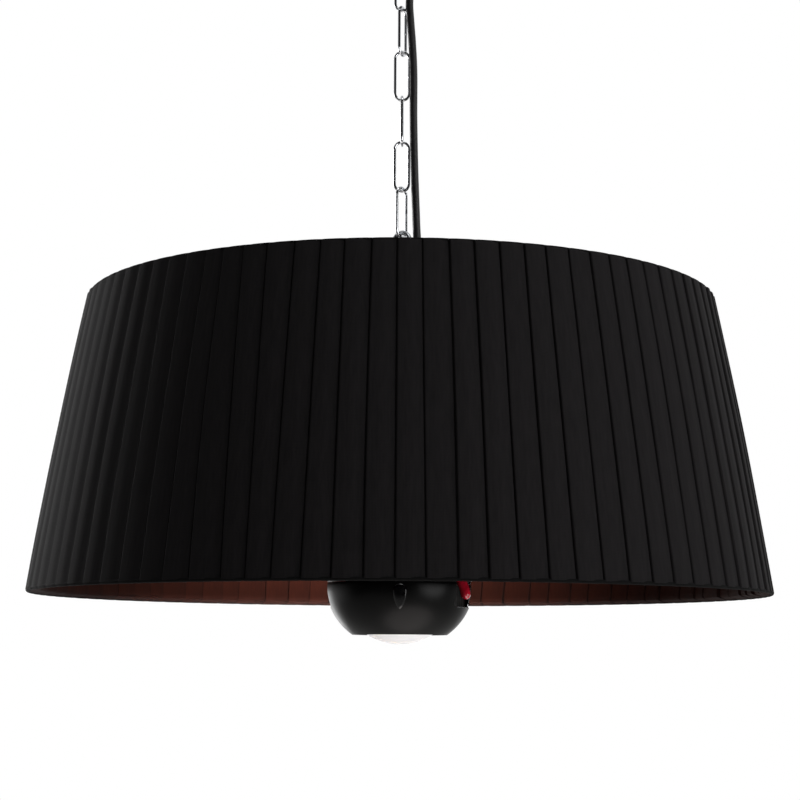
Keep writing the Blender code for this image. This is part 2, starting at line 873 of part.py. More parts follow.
def makeLamp(number, azimuth):
    """One ruby lamp with its cap and holder, all on an axis that leans inward."""
    lean = Matrix.Rotation(math.radians(-lamp_lean), 4, "Y")
    place = Matrix.Translation((0, 0, rim_z)) @ facing(azimuth)
    place = place @ Matrix.Translation((lamp_tip_radius, 0, lamp_tip_height)) @ lean
    round_end = [math.radians(90 * step / 4) for step in range(5)]
    outline = [(lamp_radius * math.sin(a), lamp_radius - lamp_radius * math.cos(a)) for a in round_end]
    outline += [(lamp_radius, lamp_length), (0, lamp_length)]
    placed(turned(f"heat_lamp_{number}", outline, rubyGlass, 12), place)
    cap_low = lamp_length + clearance
    holder_low = cap_low + lamp_cap_length + clearance
    pieces = (
        ("lamp_cap", lamp_cap_radius, cap_low, cap_low + lamp_cap_length, whitePlastic),
        ("lamp_holder", lamp_holder_radius, holder_low, holder_low + lamp_holder_length, steel),
    )
    for word, radius, low, high, surface in pieces:
        placed(rod(f"{word}_{number}", radius, (0, 0, low), (0, 0, high), surface, 12), place)


def makeBulb():
    """The opal reflector bulb with its cap, and the holder that it screws into."""
    face_centre = bulb_bottom + bulb_face_radius
    edge = math.asin((bulb_radius - bulb_shoulder / 2) / bulb_face_radius)
    face = [
        (bulb_face_radius * math.sin(edge * step / 4), face_centre - bulb_face_radius * math.cos(edge * step / 4))
        for step in range(5)
    ]
    side_low = face[-1][1] + bulb_shoulder
    outline = face + [(bulb_radius, side_low)]
    for step in range(1, 6):
        share = step / 5
        ease = share * share * (3 - 2 * share)
        radius = bulb_radius + (bulb_neck_radius - bulb_radius) * ease
        outline.append((radius, side_low + (bulb_neck_height - side_low) * share))
    outline += [(bulb_neck_radius, bulb_end_height), (0, bulb_end_height)]
    heaterTurned("opal_bulb", outline, opalGlass, 24)
    cap_low = bulb_end_height + clearance
    cap_high = cap_low + bulb_cap_length
    rod("bulb_cap", bulb_cap_radius, heaterPoint(0, 0, cap_low), heaterPoint(0, 0, cap_high), steel, 20)
    bore = bulb_cap_radius + clearance
    roof = cap_high + clearance
    flange_low = neck_bottom
    flange_high = flange_low + holder_flange_thick
    flange_radius = holder_radius + holder_flange_wall
    heaterTurned(
        "bulb_holder",
        [
            (0, roof + holder_top_wall),
            (holder_radius, roof + holder_top_wall),
            (holder_radius, flange_high),
            (flange_radius, flange_high),
            (flange_radius, flange_low),
            (holder_radius, flange_low),
            (holder_radius, holder_bottom),
            (bore, holder_bottom),
            (bore, roof),
            (0, roof),
        ],
        whitePlastic,
        20,
    )


def hangBodies():
    """Parents each link to an empty on its own joint, and all of the heater to one on the last link's wire."""
    bpy.context.view_layer.update()
    heater_joint = bpy.data.objects.new("heater_joint", None)
    heater.objects.link(heater_joint)
    heater_joint.location = (0, 0, last_link_bottom)
    bpy.context.view_layer.update()
    fixed = ("ceiling_", "canopy_", "eye_locknut", "supply_cable", "chain_link_")
    for made in list(heater.objects):
        if made != heater_joint and not made.name.startswith(fixed):
            made.parent = heater_joint
            made.matrix_parent_inverse = heater_joint.matrix_world.inverted()


def main():
    makeCeilingEnd()
    for index in range(len(link_twists)):
        makeLink(index)
    makeCable()
    plate = makeHanger()
    makeShade()
    makePlateScrews(plate, makeControlCan())
    makeBall()
    for number, azimuth in enumerate(window_azimuths, 1):
        makeReflector(number, azimuth)
        makeLamp(number, azimuth)
    makeBulb()
    hangBodies()


main()
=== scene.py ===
import json
import math

import bmesh
import bpy
import numpy as np
from mathutils import Matrix, Vector


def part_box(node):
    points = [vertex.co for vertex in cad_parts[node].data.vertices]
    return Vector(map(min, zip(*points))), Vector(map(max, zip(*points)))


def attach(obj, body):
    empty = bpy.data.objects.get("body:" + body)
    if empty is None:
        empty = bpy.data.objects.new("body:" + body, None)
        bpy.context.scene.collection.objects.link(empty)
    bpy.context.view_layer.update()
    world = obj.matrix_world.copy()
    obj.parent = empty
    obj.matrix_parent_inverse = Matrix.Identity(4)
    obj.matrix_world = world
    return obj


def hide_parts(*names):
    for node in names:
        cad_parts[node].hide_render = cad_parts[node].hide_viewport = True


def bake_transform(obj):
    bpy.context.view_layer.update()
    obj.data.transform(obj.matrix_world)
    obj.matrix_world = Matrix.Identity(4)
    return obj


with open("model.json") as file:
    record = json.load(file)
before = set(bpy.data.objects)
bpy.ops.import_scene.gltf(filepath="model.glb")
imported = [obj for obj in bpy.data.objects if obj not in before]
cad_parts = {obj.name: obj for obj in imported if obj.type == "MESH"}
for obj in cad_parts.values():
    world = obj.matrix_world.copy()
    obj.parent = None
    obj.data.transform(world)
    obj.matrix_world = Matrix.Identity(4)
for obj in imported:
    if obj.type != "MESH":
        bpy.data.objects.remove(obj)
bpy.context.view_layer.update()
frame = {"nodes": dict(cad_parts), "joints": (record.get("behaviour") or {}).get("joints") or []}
print("frame loaded,", len(frame["nodes"]), "parts")

rng = np.random.default_rng(7)  # one seed for every small irregularity, so each run is alike
heater = "heater"
ceiling = "ceiling_mount"
plateHeight = 0.232  # underside of the top plate above the shade's lower rim
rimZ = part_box("top_plate")[0].z - plateHeight


def addObject(name, data):
    made = bpy.data.objects.new(name, data)
    bpy.context.scene.collection.objects.link(made)
    return made


def rotation(degrees, axis="Z"):
    return Matrix.Rotation(math.radians(degrees), 4, axis)


# Camera, worked out from the shade's outline in the photograph
camera = {
    "distance": 1.4633,
    "height": -0.0482,  # below the shade's lower rim
    "across": -0.0006,
    "pitch": 8.170,
    "roll": 0.276,
    "lens": 80.14,
    "sensor": 36.0,
    "near": 0.05,
    "far": 60,
}


def makeCamera():
    data = bpy.data.cameras.new("photoCamera")
    data.lens = camera["lens"]
    data.sensor_width = camera["sensor"]
    data.clip_start = camera["near"]
    data.clip_end = camera["far"]
    made = addObject("photoCamera", data)
    place = Matrix.Translation((camera["across"], -camera["distance"], rimZ + camera["height"]))
    made.matrix_world = place @ rotation(90 + camera["pitch"], "X") @ rotation(camera["roll"])
    bpy.context.scene.camera = made


makeCamera()


# Colours and nodes
def hexColour(code):  # sRGB hex to linear red, green, blue and an alpha of 1
    parts = np.array([int(code[i : i + 2], 16) for i in (1, 3, 5)]) / 255
    linear = np.where(parts <= 0.04045, parts / 12.92, ((parts + 0.055) / 1.055) ** 2.4)
    return (*[float(part) for part in linear], 1.0)


def newMaterial(name, colour, **sockets):  # a Principled surface: its material, shader and node tree
    made = bpy.data.materials.new(name)
    made.use_nodes = True
    shader = made.node_tree.nodes["Principled BSDF"]
    shader.inputs["Base Color"].default_value = hexColour(colour)
    for socket, value in sockets.items():
        shader.inputs[socket.replace("_", " ")].default_value = value
    return made, shader, made.node_tree


def addNode(tree, kind, settings=None, links=None):
    node = tree.nodes.new("ShaderNode" + kind)
    for key, value in (settings or {}).items():
        if isinstance(key, int) or key in node.inputs:
            node.inputs[key].default_value = value
        else:
            setattr(node, key, value)
    for key, source in (links or {}).items():
        tree.links.new(source, node.inputs[key])
    return node


def feed(shader, **sources):  # links each source to the shader's socket of that name
    for socket, source in sources.items():
        shader.id_data.links.new(source, shader.inputs[socket.replace("_", " ")])


def addNoise(tree, scale, detail):  # noise in the piece's own space, its scale in features to the metre
    place = addNode(tree, "TexCoord").outputs["Object"]
    return addNode(tree, "TexNoise", {"Scale": scale, "Detail": detail}, {"Vector": place}).outputs["Fac"]


def addBump(shader, height, strength, distance):
    settings = {"Strength": strength, "Distance": distance}
    feed(shader, Normal=addNode(shader.id_data, "Bump", settings, {"Height": height}).outputs["Normal"])


def addRamp(tree, source, low, high, start=0.0, end=1.0):  # a value spread between two colours or two greys
    ramp = addNode(tree, "ValToRGB", None, {"Fac": source})
    for element, place, level in zip(ramp.color_ramp.elements, (start, end), (low, high)):
        element.position = place
        element.color = hexColour(level) if isinstance(level, str) else (level, level, level, 1)
    return ramp.outputs["Color"]


def addWave(tree, way, spacing, place, settings):  # lines a spacing in metres apart, across one direction
    scale = 2 * math.pi / 20 / spacing
    settings = {"bands_direction": way, "Scale": scale, **settings}
    return addNode(tree, "TexWave", settings, {"Vector": place}).outputs["Fac"]


def wovenCloth(name, dark, light, thread, slub, roughness, sheen):
    # Warp and weft are two wave patterns in the piece's own UV map, which is in metres.
    # Slubs are noise drawn out along the warp. Real threads are 0.3 mm; these are coarser, so that they show.
    made, shader, tree = newMaterial(name, dark, Roughness=roughness, Specular_IOR_Level=0.12,
                                     Sheen_Weight=sheen, Sheen_Roughness=0.45, Sheen_Tint=hexColour(light))
    place = addNode(tree, "UVMap", {"uv_map": "cloth"}).outputs["UV"]
    warp = addWave(tree, "X", thread, place, {"Distortion": 0.6, "Detail": 1.0})
    weft = addWave(tree, "Y", thread, place, {"Distortion": 0.8, "Detail": 1.0})
    weave = addNode(tree, "Math", {"operation": "ADD"}, {0: warp, 1: weft}).outputs[0]
    drawn = addNode(tree, "Mapping", {"Scale": (1 / slub, 0.12 / slub, 1.0)}, {"Vector": place}).outputs[0]
    coarse = {"Scale": 1.0, "Detail": 3.0, "Roughness": 0.6}
    slubs = addNode(tree, "TexNoise", coarse, {"Vector": drawn}).outputs["Fac"]
    blend = addNode(tree, "Math", {"operation": "MULTIPLY_ADD", 1: 0.25}, {0: weave, 2: slubs}).outputs[0]
    feed(shader, Base_Color=addRamp(tree, blend, dark, light, 0.45, 1.05))
    addBump(shader, blend, 0.18, 0.0003)
    return made


def chromePlate(name, colour, roughness):
    # Chromium plated steel: near mirror, with the faint cloudiness that handling leaves.
    made, shader, tree = newMaterial(name, colour, Metallic=1.0, Roughness=roughness)
    cloud = addNoise(tree, 90.0, 4.0)
    feed(shader, Roughness=addRamp(tree, cloud, roughness * 0.6, roughness * 2.2, 0.35, 0.75))
    addBump(shader, cloud, 0.05, 0.0002)
    return made


def stovedEnamel(name, colour, roughness):
    # Black stoved enamel on spun steel: a soft gloss with a faint orange peel of about 4 mm.
    made, shader, tree = newMaterial(name, colour, Roughness=roughness, Specular_IOR_Level=0.12)
    smear = addNoise(tree, 28.0, 5.0)
    feed(shader, Roughness=addRamp(tree, smear, roughness, roughness + 0.09, 0.4, 0.8))
    addBump(shader, addNoise(tree, 1 / 0.004, 2.0), 0.04, 0.0003)
    return made


def mouldedPlastic(name, colour, lighter, roughness, grain=0.0008, shine=0.5):
    # Moulded nylon, rubber or ceramic: an even colour with a spark-eroded grain and slight mottling.
    made, shader, tree = newMaterial(name, colour, Roughness=roughness, Specular_IOR_Level=shine)
    spots = addNoise(tree, 0.5 / grain, 3.0)
    mottle = addRamp(tree, addNoise(tree, 40.0, 3.0), colour, lighter, 0.35, 0.75)
    rough = addRamp(tree, spots, max(roughness - 0.08, 0.05), min(roughness + 0.12, 1.0), 0.3, 0.7)
    feed(shader, Base_Color=mottle, Roughness=rough)
    addBump(shader, spots, 0.25, 0.0002)
    return made


def platedSteel(name, colour, roughness, lines=0.0012):
    # Zinc plated or turned steel: fine lines left by the tool, over a soft spangle.
    made, shader, tree = newMaterial(name, colour, Metallic=1.0, Roughness=roughness)
    place = addNode(tree, "TexCoord").outputs["Object"]
    lathed = addWave(tree, "Z", lines, place, {"Distortion": 2.0, "Detail": 3.0, "Detail Scale": 2.0})
    spangle = addNode(tree, "TexVoronoi", {"Scale": 1 / 0.006}, {"Vector": place}).outputs["Distance"]
    feed(shader, Roughness=addRamp(tree, spangle, roughness * 0.8, roughness * 1.5))
    addBump(shader, lathed, 0.12, 0.0001)
    return made


def rubyQuartz(name):
    # Quartz tube with a ruby coating: a dark clear red, glossy, a little brighter where the coating thins.
    made, shader, tree = newMaterial(name, "#b3142a", Roughness=0.06, IOR=1.46, Coat_Weight=0.7,
                                     Coat_Roughness=0.03, Transmission_Weight=0.15)
    streak = addNoise(tree, 160.0, 3.0)
    feed(shader, Base_Color=addRamp(tree, streak, "#9c1023", "#c81c33", 0.35, 0.7))
    addBump(shader, streak, 0.05, 0.0002)
    return made


def opalGlass(name):
    # Blown opal glass: milky white through and through, with a soft satin gloss.
    made, shader, tree = newMaterial(name, "#f5f8fa", Roughness=0.22, IOR=1.5, Subsurface_Weight=0.25,
                                     Subsurface_Radius=(0.004, 0.004, 0.0035), Subsurface_Scale=1.0)
    haze = addNoise(tree, 60.0, 3.0)
    feed(shader, Base_Color=addRamp(tree, haze, "#f3f7f9", "#f8fbfd", 0.3, 0.7),
         Roughness=addRamp(tree, haze, 0.20, 0.26, 0.3, 0.7))
    return made


# Finishes: a material, and the slot of the record that it stands for
blackCotton = (wovenCloth("wovenBlackCotton", "#0e0d0e", "#181617", 0.0010, 0.0024, 0.88, 0.07), "black_fabric")
hemTape = (wovenCloth("wovenBlackTape", "#030303", "#080808", 0.0009, 0.0015, 0.95, 0.0), "black_fabric")
liningCloth = (wovenCloth("wovenBrownLining", "#1c0803", "#2b1007", 0.0010, 0.0018, 0.95, 0.0), "brown_lining")
chainChrome = (chromePlate("chromePlatedChain", "#d3d5d8", 0.07), "chrome")
screwChrome = (chromePlate("chromePlatedScrew", "#c9cbce", 0.14), "chrome")
blackEnamel = (stovedEnamel("stovedBlackEnamel", "#020202", 0.31), "black_metal")
satinEnamel = (stovedEnamel("stovedSatinEnamel", "#0d0d0e", 0.32), "black_metal")
cablePvc = (mouldedPlastic("extrudedBlackPvc", "#090809", "#100f10", 0.45), "black_rubber")
blackNylon = (mouldedPlastic("mouldedBlackNylon", "#121213", "#1c1c1d", 0.38), "black_plastic")
lensAcrylic = (mouldedPlastic("polishedSmokedAcrylic", "#010102", "#020203", 0.13, 0.003, 0.35), "black_plastic")
steatite = (mouldedPlastic("firedSteatite", "#ddd8cc", "#ebe7dd", 0.45), "white_plastic")
zincSteel = (platedSteel("zincPlatedSteel", "#a8abae", 0.32), "steel")
spunAluminium = (platedSteel("polishedSpunAluminium", "#dcdfe3", 0.12, 0.0008), "polished_aluminium")
capAluminium = (spunAluminium[0], "steel")
# The lamp troughs are drawn near black: painted shade for the dark inside of each window.
troughShadeSteel = (platedSteel("paintedShadeTroughSteel", "#1d1b1a", 0.42), "polished_aluminium")
rubyCoat = (rubyQuartz("rubyCoatedQuartz"), "ruby_glass")
opal = (opalGlass("blownOpalGlass"), "opal_glass")
boardMask = (mouldedPlastic("solderMaskLaminate", "#0f4a28", "#17603a", 0.35), "circuit_board")
print("materials made")


# Meshes from grids of points
touching = 1e-6  # points nearer than this count as one, in metres


def moved(mesh, turn):
    mesh.transform(turn)
    return mesh


def eased(mesh, sharp=35):  # smooth shading that keeps edges sharper than an angle
    mesh.shade_smooth()
    mesh.set_sharp_from_angle(angle=math.radians(sharp))
    return mesh


def fromShape(name, shape):
    mesh = bpy.data.meshes.new(name)
    shape.to_mesh(mesh)
    shape.free()
    return mesh


def fullTurn(steps):
    return np.linspace(0, 2 * np.pi, steps, endpoint=False)


def polar(radius, turn, height, centre=(0, 0, 0)):  # points at a radius, a turn round Z and a height
    values = np.broadcast_arrays(radius * np.cos(turn), radius * np.sin(turn), height)
    return np.stack(values, axis=-1) + np.asarray(centre, float)


def columns(*values):
    return np.hstack(np.broadcast_arrays(*values))


def surfaceMesh(name, points, aroundRows, aroundColumns, sharp=35):
    # Joins each grid point to its neighbours, and the last row or column to the first where it goes round.
    # Points that share a place are merged, which closes poles, and the faces are turned outward.
    rows, width = points.shape[:2]
    index = np.arange(rows * width).reshape(rows, width)
    index = np.vstack([index, index[:1]]) if aroundRows else index
    index = np.hstack([index, index[:, :1]]) if aroundColumns else index
    faces = np.stack([index[:-1, :-1], index[1:, :-1], index[1:, 1:], index[:-1, 1:]], axis=-1).reshape(-1, 4)
    mesh = bpy.data.meshes.new(name)
    mesh.from_pydata(points.reshape(-1, 3).tolist(), [], faces.tolist())
    shape = bmesh.new()
    shape.from_mesh(mesh)
    bmesh.ops.remove_doubles(shape, verts=shape.verts, dist=touching)
    bmesh.ops.recalc_face_normals(shape, faces=shape.faces)
    shape.to_mesh(mesh)
    shape.free()
    return eased(mesh, sharp)


def newPiece(mesh, finish, *nodes, body=heater):
    # Puts the mesh in the scene, gives it its finish and makes it ride on its body in place of the CAD nodes.
    made = addObject(mesh.name.split(".")[0], mesh)
    material, slot = finish
    mesh.materials.clear()
    mesh.materials.append(material)
    if body:
        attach(made, body)
    if nodes:
        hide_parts(*nodes)
    return made


def pieceName(node):  # the CAD node's name as one word
    first, *rest = node.split("_")
    return first + "".join(word.title() for word in rest)


def boxMiddle(node):
    return [(low + high) / 2 for low, high in zip(*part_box(node))]


def joinedMesh(name, meshes):
    # One mesh that holds several.
    shape = bmesh.new()
    for mesh in meshes:
        shape.from_mesh(mesh)
    return eased(fromShape(name, shape))


def turnedMesh(name, profile, centre=(0, 0, 0), steps=96, sharp=35):
    # Carries a profile of (radius, height) points round Z. Ends on the axis close by themselves.
    profile = np.asarray(profile, float)
    points = polar(profile[:, 0], fullTurn(steps)[:, None], profile[:, 1], centre)
    return surfaceMesh(name, points, True, min(profile[0, 0], profile[-1, 0]) > touching, sharp)


def curved(start, middle, end, t):  # a short curve that leaves and meets the lines to its middle point
    return start * (1 - t) ** 2 + 2 * middle * t * (1 - t) + end * t * t


def cubic(start, first, second, end, t):  # a curve with two handles
    return curved(start, first, second, t) * (1 - t) + curved(first, second, end, t) * t


def softened(corners, radius, steps=3):
    # Rounds each inner corner of a profile with a short curve that starts and ends a radius away from it.
    corners = np.asarray(corners, float)
    closed = min(corners[0, 0], corners[-1, 0]) > touching
    points = []
    for i, corner in enumerate(corners):
        if not closed and i in (0, len(corners) - 1):
            points.append(corner)
            continue
        sides = [corners[i - 1] - corner, corners[(i + 1) % len(corners)] - corner]
        lengths = [np.linalg.norm(side) for side in sides]
        reach = min(radius, 0.45 * min(lengths))
        start, end = [corner + side / length * reach for side, length in zip(sides, lengths)]
        points += [curved(start, corner, end, t) for t in np.linspace(0, 1, steps + 1)]
    return np.array(points)


def stairs(radii, heights):  # a profile that goes by turns to the next radius and to the next height
    return [(radius, height) for i, height in enumerate(heights) for radius in radii[i : i + 2]]


def band(outer, inner, low, high):
    # The softened profile of a flat ring.
    return softened([(outer, high), (outer, low), (inner, low), (inner, high)], 0.0004)


def sweptMesh(name, path, radius, closed, sides=16, normal=(0, 0, 1)):
    # Carries a circle along a path, square to it at each point and turned about it as little as possible.
    path = np.asarray(path, float)
    if closed:
        along = np.roll(path, -1, axis=0) - np.roll(path, 1, axis=0)
    else:
        along = np.gradient(path, axis=0)
    along /= np.linalg.norm(along, axis=1, keepdims=True)
    side = np.cross(along, np.asarray(normal, float))
    side /= np.linalg.norm(side, axis=1, keepdims=True)
    up = np.cross(side, along)
    turn = fullTurn(sides)[None, :, None]
    radius = np.broadcast_to(np.asarray(radius, float), (len(path),))[:, None, None]
    points = path[:, None] + radius * (side[:, None] * np.cos(turn) + up[:, None] * np.sin(turn))
    if not closed:
        first, last = [np.repeat(path[i][None, None], sides, axis=1) for i in (0, -1)]
        points = np.concatenate([first, points, last])
    return surfaceMesh(name, points, closed, True)


def addClothMap(mesh, across, along):
    # Writes the piece's UV map in metres: one value each way for every point of the mesh.
    corners = np.zeros(len(mesh.loops), np.int32)
    mesh.loops.foreach_get("vertex_index", corners)
    spots = np.stack([across[corners], along[corners]], axis=1).astype(np.float32)
    mesh.uv_layers.new(name="cloth").data.foreach_set("uv", spots.ravel())


def unrolled(mesh):  # the arc of each point round the shade, and the mesh's points
    points = np.zeros(len(mesh.vertices) * 3, np.float32)
    mesh.vertices.foreach_get("co", points)
    points = points.reshape(-1, 3).astype(float)
    return np.arctan2(points[:, 1], points[:, 0]) * shade["bottomRadius"], points


def wrapClothMap(mesh):
    # Unrolls the piece round Z: across is the arc at the bottom radius, and along is the height.
    across, points = unrolled(mesh)
    addClothMap(mesh, across, points[:, 2])
    return mesh


# The shade: a pleated cotton cover over a card cone, a lining, a rolled hem, a top binding and two wire rings
shade = {
    "height": 0.239,
    "bottomRadius": 0.300,
    "topRadius": 0.2587,
    "bulge": 0.0015,
    "pleats": 90,
    "phase": -0.6,  # degrees from the front to the nearest fold
    "rise": 0.0015,
    "groove": 0.0011,
    "riseSpread": 0.18,
    "puff": 0.00012,  # how far the cloth between two folds stands off unevenly
    "coverThick": 0.001,
    "liningThick": 0.0005,
    "clearance": 0.0003,
    "dipWidth": 0.12,  # share of a pleat's width over which the hem and the binding dip
    "dipThin": 0.10,
    "hemWire": 0.003,
    "hemDip": 0.0004,
    "trimWire": 0.002,
    "trimDip": 0.0003,
    "ringWire": 0.004,
    "foldWander": 0.030,  # share of a pleat's width
    "seamAzimuth": -24,
    "seamLean": 0.55,
    "seamSpread": 4.5,
    "rows": 34,
    "across": (0, 0.008, 0.02, 0.035, 0.055, 0.1, 0.2, 0.33, 0.46, 0.58, 0.68, 0.77, 0.85, 0.91, 0.945, 0.962,
               0.974, 0.986),  # shares of a pleat's width that have a column of points
    "seams": 83,
    "seamRise": 0.0020,
    "seamRiseSpread": 0.25,
    "seamSlant": -0.8,  # pleats of the lining that a fold leans across from the bottom to the top
    "seamWander": (0.13, 0.10),  # how unevenly the lining's pleats are spaced, and how unevenly they lean
    "seamRows": 18,
    "seamStart": (0.0012, 0.0034),  # heights between which the lining's pleats begin
    "seamEnd": (0.008, 0.014),  # and how far below its top they end
    "seamAcross": (0, 0.012, 0.028, 0.05, 0.10, 0.25, 0.45, 0.65, 0.85, 0.92, 0.955, 0.974),
    # painted shade across each lining pleat, and at the turn under the bottom ring
    "creaseAcross": (0.012, 0.028, 0.05, 0.5, 0.92, 0.955, 0.974),
    "creasePaintedShade": (0.3, 0.7, 0.8, 0.95, 1.08, 0.45, 0.3),
    "turnHeights": (0.0030, 0.0085),
    "turnPaintedShade": (0.4, 1.0),
    "fold": (  # inset and height of the lining where it leaves the wall and goes round the bottom ring
        (0.0031, 0.0400),
        (0.0036, 0.0300),
        (0.0050, 0.0200),
        (0.0068, 0.0120),
        (0.0080, 0.0075),
        (0.0083, 0.0052),
        (0.0078, 0.0036),
        (0.0066, 0.0028),
        (0.0053, 0.0025),
        (0.0041, 0.0022),
        (0.0036, 0.0012),
    ),
}
shadeTop = shade["height"] - shade["trimWire"] * 0.6  # where the cloth ends inside the binding
shadeBottom = shade["hemWire"] * 0.6


def shadeRadius(height, inset=0.0):  # straight sides plus a slight bulge at mid height, less an inset
    share = height / shade["height"]
    straight = shade["bottomRadius"] + (shade["topRadius"] - shade["bottomRadius"]) * share
    return straight + 4 * shade["bulge"] * share * (1 - share) - inset


def smoothStep(low, high, value):
    t = np.clip((value - low) / (high - low), 0, 1)
    return t * t * (3 - 2 * t)


def foldAngles(count, shares, places):
    # The turn of each column of points, in pleats: its place between this fold and the next, row by row.
    share = shares[None, :, None]
    here = np.arange(count)[:, None, None] + share + places[:, None] * (1 - share)
    return (here + np.roll(places, -1, axis=0)[:, None] * share).reshape(-1, places.shape[1])


def pleatRise(across):
    # Height of a pleat's skin from its right edge (0) to its proud fold (1), against the share of its width.
    # The fold at the left is round, the band falls away to the right, and a groove lies under the next fold.
    fold = 1 - 0.35 * (1 - np.clip(across / 0.05, 0, 1)) ** 2
    fall = 0.85 * smoothStep(0.35, 0.97, across)
    groove = smoothStep(0.945, 0.962, across) * (1 - smoothStep(0.985, 0.999, across))
    return fold - fall - shade["groove"] / shade["rise"] * groove


def coverMesh():
    # A grid of pleats by rows. Each fold wanders a little sideways with height, and a few near the join lean.
    count = shade["pleats"]
    shares = np.array(shade["across"])
    heights = np.linspace(shadeBottom, shadeTop, shade["rows"])
    level = (heights / shade["height"])[None, :]
    azimuth = (np.arange(count) * 360 / count + shade["phase"] + 180) % 360 - 180
    waver = rng.normal(0, 1, (count, 3)) * shade["foldWander"]
    wander = waver[:, :1] * (0.4 + 0.6 * level) + waver[:, 1:2] * np.sin(math.pi * level) * 0.7
    lean = np.exp(-(((azimuth - shade["seamAzimuth"]) / shade["seamSpread"]) ** 2))[:, None]
    wander = wander + shade["seamLean"] * lean * (0.5 - level)
    angle = np.radians(foldAngles(count, shares, wander) * 360 / count + shade["phase"] - 90)
    uneven = rng.normal(0, 1, (count, 1, 1)).clip(-1.5, 1.5)
    lift = pleatRise(shares)[None, :, None] * (1 + shade["riseSpread"] * uneven)
    puff = shade["puff"] * np.sin(9 * level[None] + 5 * waver[:, None, 2:3] / shade["foldWander"])
    outer = (shadeRadius(heights)[None, None, :] + shade["rise"] * (lift - 1) + puff).reshape(angle.shape)
    innerHeights = np.array([shadeTop, (shadeBottom + shadeTop) / 2, shadeBottom])
    inner = shadeRadius(innerHeights, shade["rise"] + shade["coverThick"])
    turns = np.hstack([angle, np.repeat(angle[:, :1], 3, axis=1)])
    radii = np.hstack([outer, np.broadcast_to(inner, (len(angle), 3))])
    points = polar(radii, turns, np.concatenate([heights, innerHeights]) + rimZ)
    return wrapClothMap(surfaceMesh("pleatedCover", points, True, True, 50))


def beadMesh(name, part, edge, way):
    # A tube round the shade's edge that dips a little at every pleat, as cloth does that is sewn over folds.
    wire = shade[part + "Wire"]
    height = edge + way * wire / 2
    turn = fullTurn(shade["pleats"] * 8)
    pleat = ((np.degrees(turn) + 90 - shade["phase"]) / 360 * shade["pleats"]) % 1
    notch = np.exp(-((np.minimum(pleat, 1 - pleat) / shade["dipWidth"]) ** 2))
    middle = shadeRadius(height, max(wire / 2, shade["rise"] / 2 + shade["coverThick"]))
    path = polar(middle - shade[part + "Dip"] * notch, turn, rimZ + height)
    mesh = sweptMesh(name, path, wire / 2 * (1 - shade["dipThin"] * notch), True, 14)
    across, points = unrolled(mesh)
    around = np.arctan2(points[:, 2] - rimZ - height, np.hypot(points[:, 0], points[:, 1]) - middle)
    addClothMap(mesh, across, around * wire / 2)
    return mesh


def liningMesh():
    # One open sheet. Up the wall it lies in shallow knife pleats of uneven width, with a step at one side of
    # each. At its lower edge it goes round the bottom ring and down behind the hem.
    count = shade["seams"]
    shares = np.array(shade["seamAcross"])
    profile = np.interp(shares, [0.012, 0.028, 0.955, 0.974], [0, 1.45, 0.80, 0])
    turnedInsets, turnedHeights = np.array(shade["fold"][::-1]).T
    wall = np.linspace(turnedHeights[-1], shadeTop, shade["seamRows"])[1:]
    insets = np.concatenate([turnedInsets, np.full(len(wall), turnedInsets[-1])])
    heights = np.concatenate([turnedHeights, wall])
    level = (heights / shade["height"])[None, :]
    uneven = rng.normal(0, 1, (count, 3)).clip(-1.6, 1.6)
    spacing, leaning = shade["seamWander"]
    place = uneven[:, :1] * spacing + (shade["seamSlant"] + leaning * uneven[:, 1:2]) * (level - 0.05)
    angle = foldAngles(count, shares, place) * 2 * math.pi / count
    between = smoothStep(*shade["seamStart"], heights) * smoothStep(*shade["seamEnd"], shadeTop - heights)
    depth = 1 + shade["seamRiseSpread"] * uneven[:, 2:3]
    raised = shade["seamRise"] * depth[:, :, None] * profile[None, :, None] * between[None, None, :]
    radii = shadeRadius(heights, insets)[None, :] - raised.reshape(-1, len(heights))
    mesh = surfaceMesh("brownLining", polar(radii, angle, heights + rimZ), True, False, 40)
    mesh.flip_normals()
    # Painted shade: each step is darkened in its corner and painted slightly lighter just before it, and the
    # glued turn under the ring is darkened too.
    shadow = np.interp(shares, shade["creaseAcross"], shade["creasePaintedShade"])
    turned = np.interp(heights, shade["turnHeights"], shade["turnPaintedShade"])
    crease = (np.tile(shadow, count)[:, None] * turned[None, :]).ravel()
    mesh.attributes.new("crease", "FLOAT", "POINT").data.foreach_set("value", crease.astype(np.float32))
    return wrapClothMap(mesh)


def paintCreaseShade(made):
    # Painted shade in each fold and at the turn under the ring: the cloth's colour is multiplied by the mesh's
    # painted crease shade value.
    shader = made.node_tree.nodes["Principled BSDF"]
    colour = shader.inputs["Base Color"].links[0].from_socket
    crease = addNode(made.node_tree, "Attribute", {"attribute_name": "crease"}).outputs["Fac"]
    links = {"Vector": colour, "Scale": crease}
    scaled = addNode(made.node_tree, "VectorMath", {"operation": "SCALE"}, links).outputs["Vector"]
    feed(shader, Base_Color=scaled)


def makeShade():
    cover = newPiece(coverMesh(), blackCotton, "shade_cover")
    hem = newPiece(beadMesh("rolledHem", "hem", 0, 1), hemTape, "shade_hem")
    binding = newPiece(beadMesh("topBinding", "trim", shade["height"], -1), hemTape, "shade_top_trim")
    lining = newPiece(liningMesh(), liningCloth, "shade_lining")
    # painted shade in the lining's folds
    paintCreaseShade(liningCloth[0])
    wall = lining.modifiers.new("wall", "SOLIDIFY")
    wall.thickness = shade["liningThick"]
    wall.offset = -1
    cloth = shade["rise"] + shade["coverThick"] + 2 * shade["clearance"] + shade["liningThick"]
    radius = shade["ringWire"] / 2
    rings = ["topWireRing", "bottomWireRing"]
    for name, node in zip(rings, ("shade_top_ring", "shade_bottom_ring")):
        height = boxMiddle(node)[2]
        path = polar(shadeRadius(height - rimZ, cloth + radius), fullTurn(240), height)
        newPiece(sweptMesh(name, path, radius, True, 14), satinEnamel, node)


makeShade()
print("shade made")


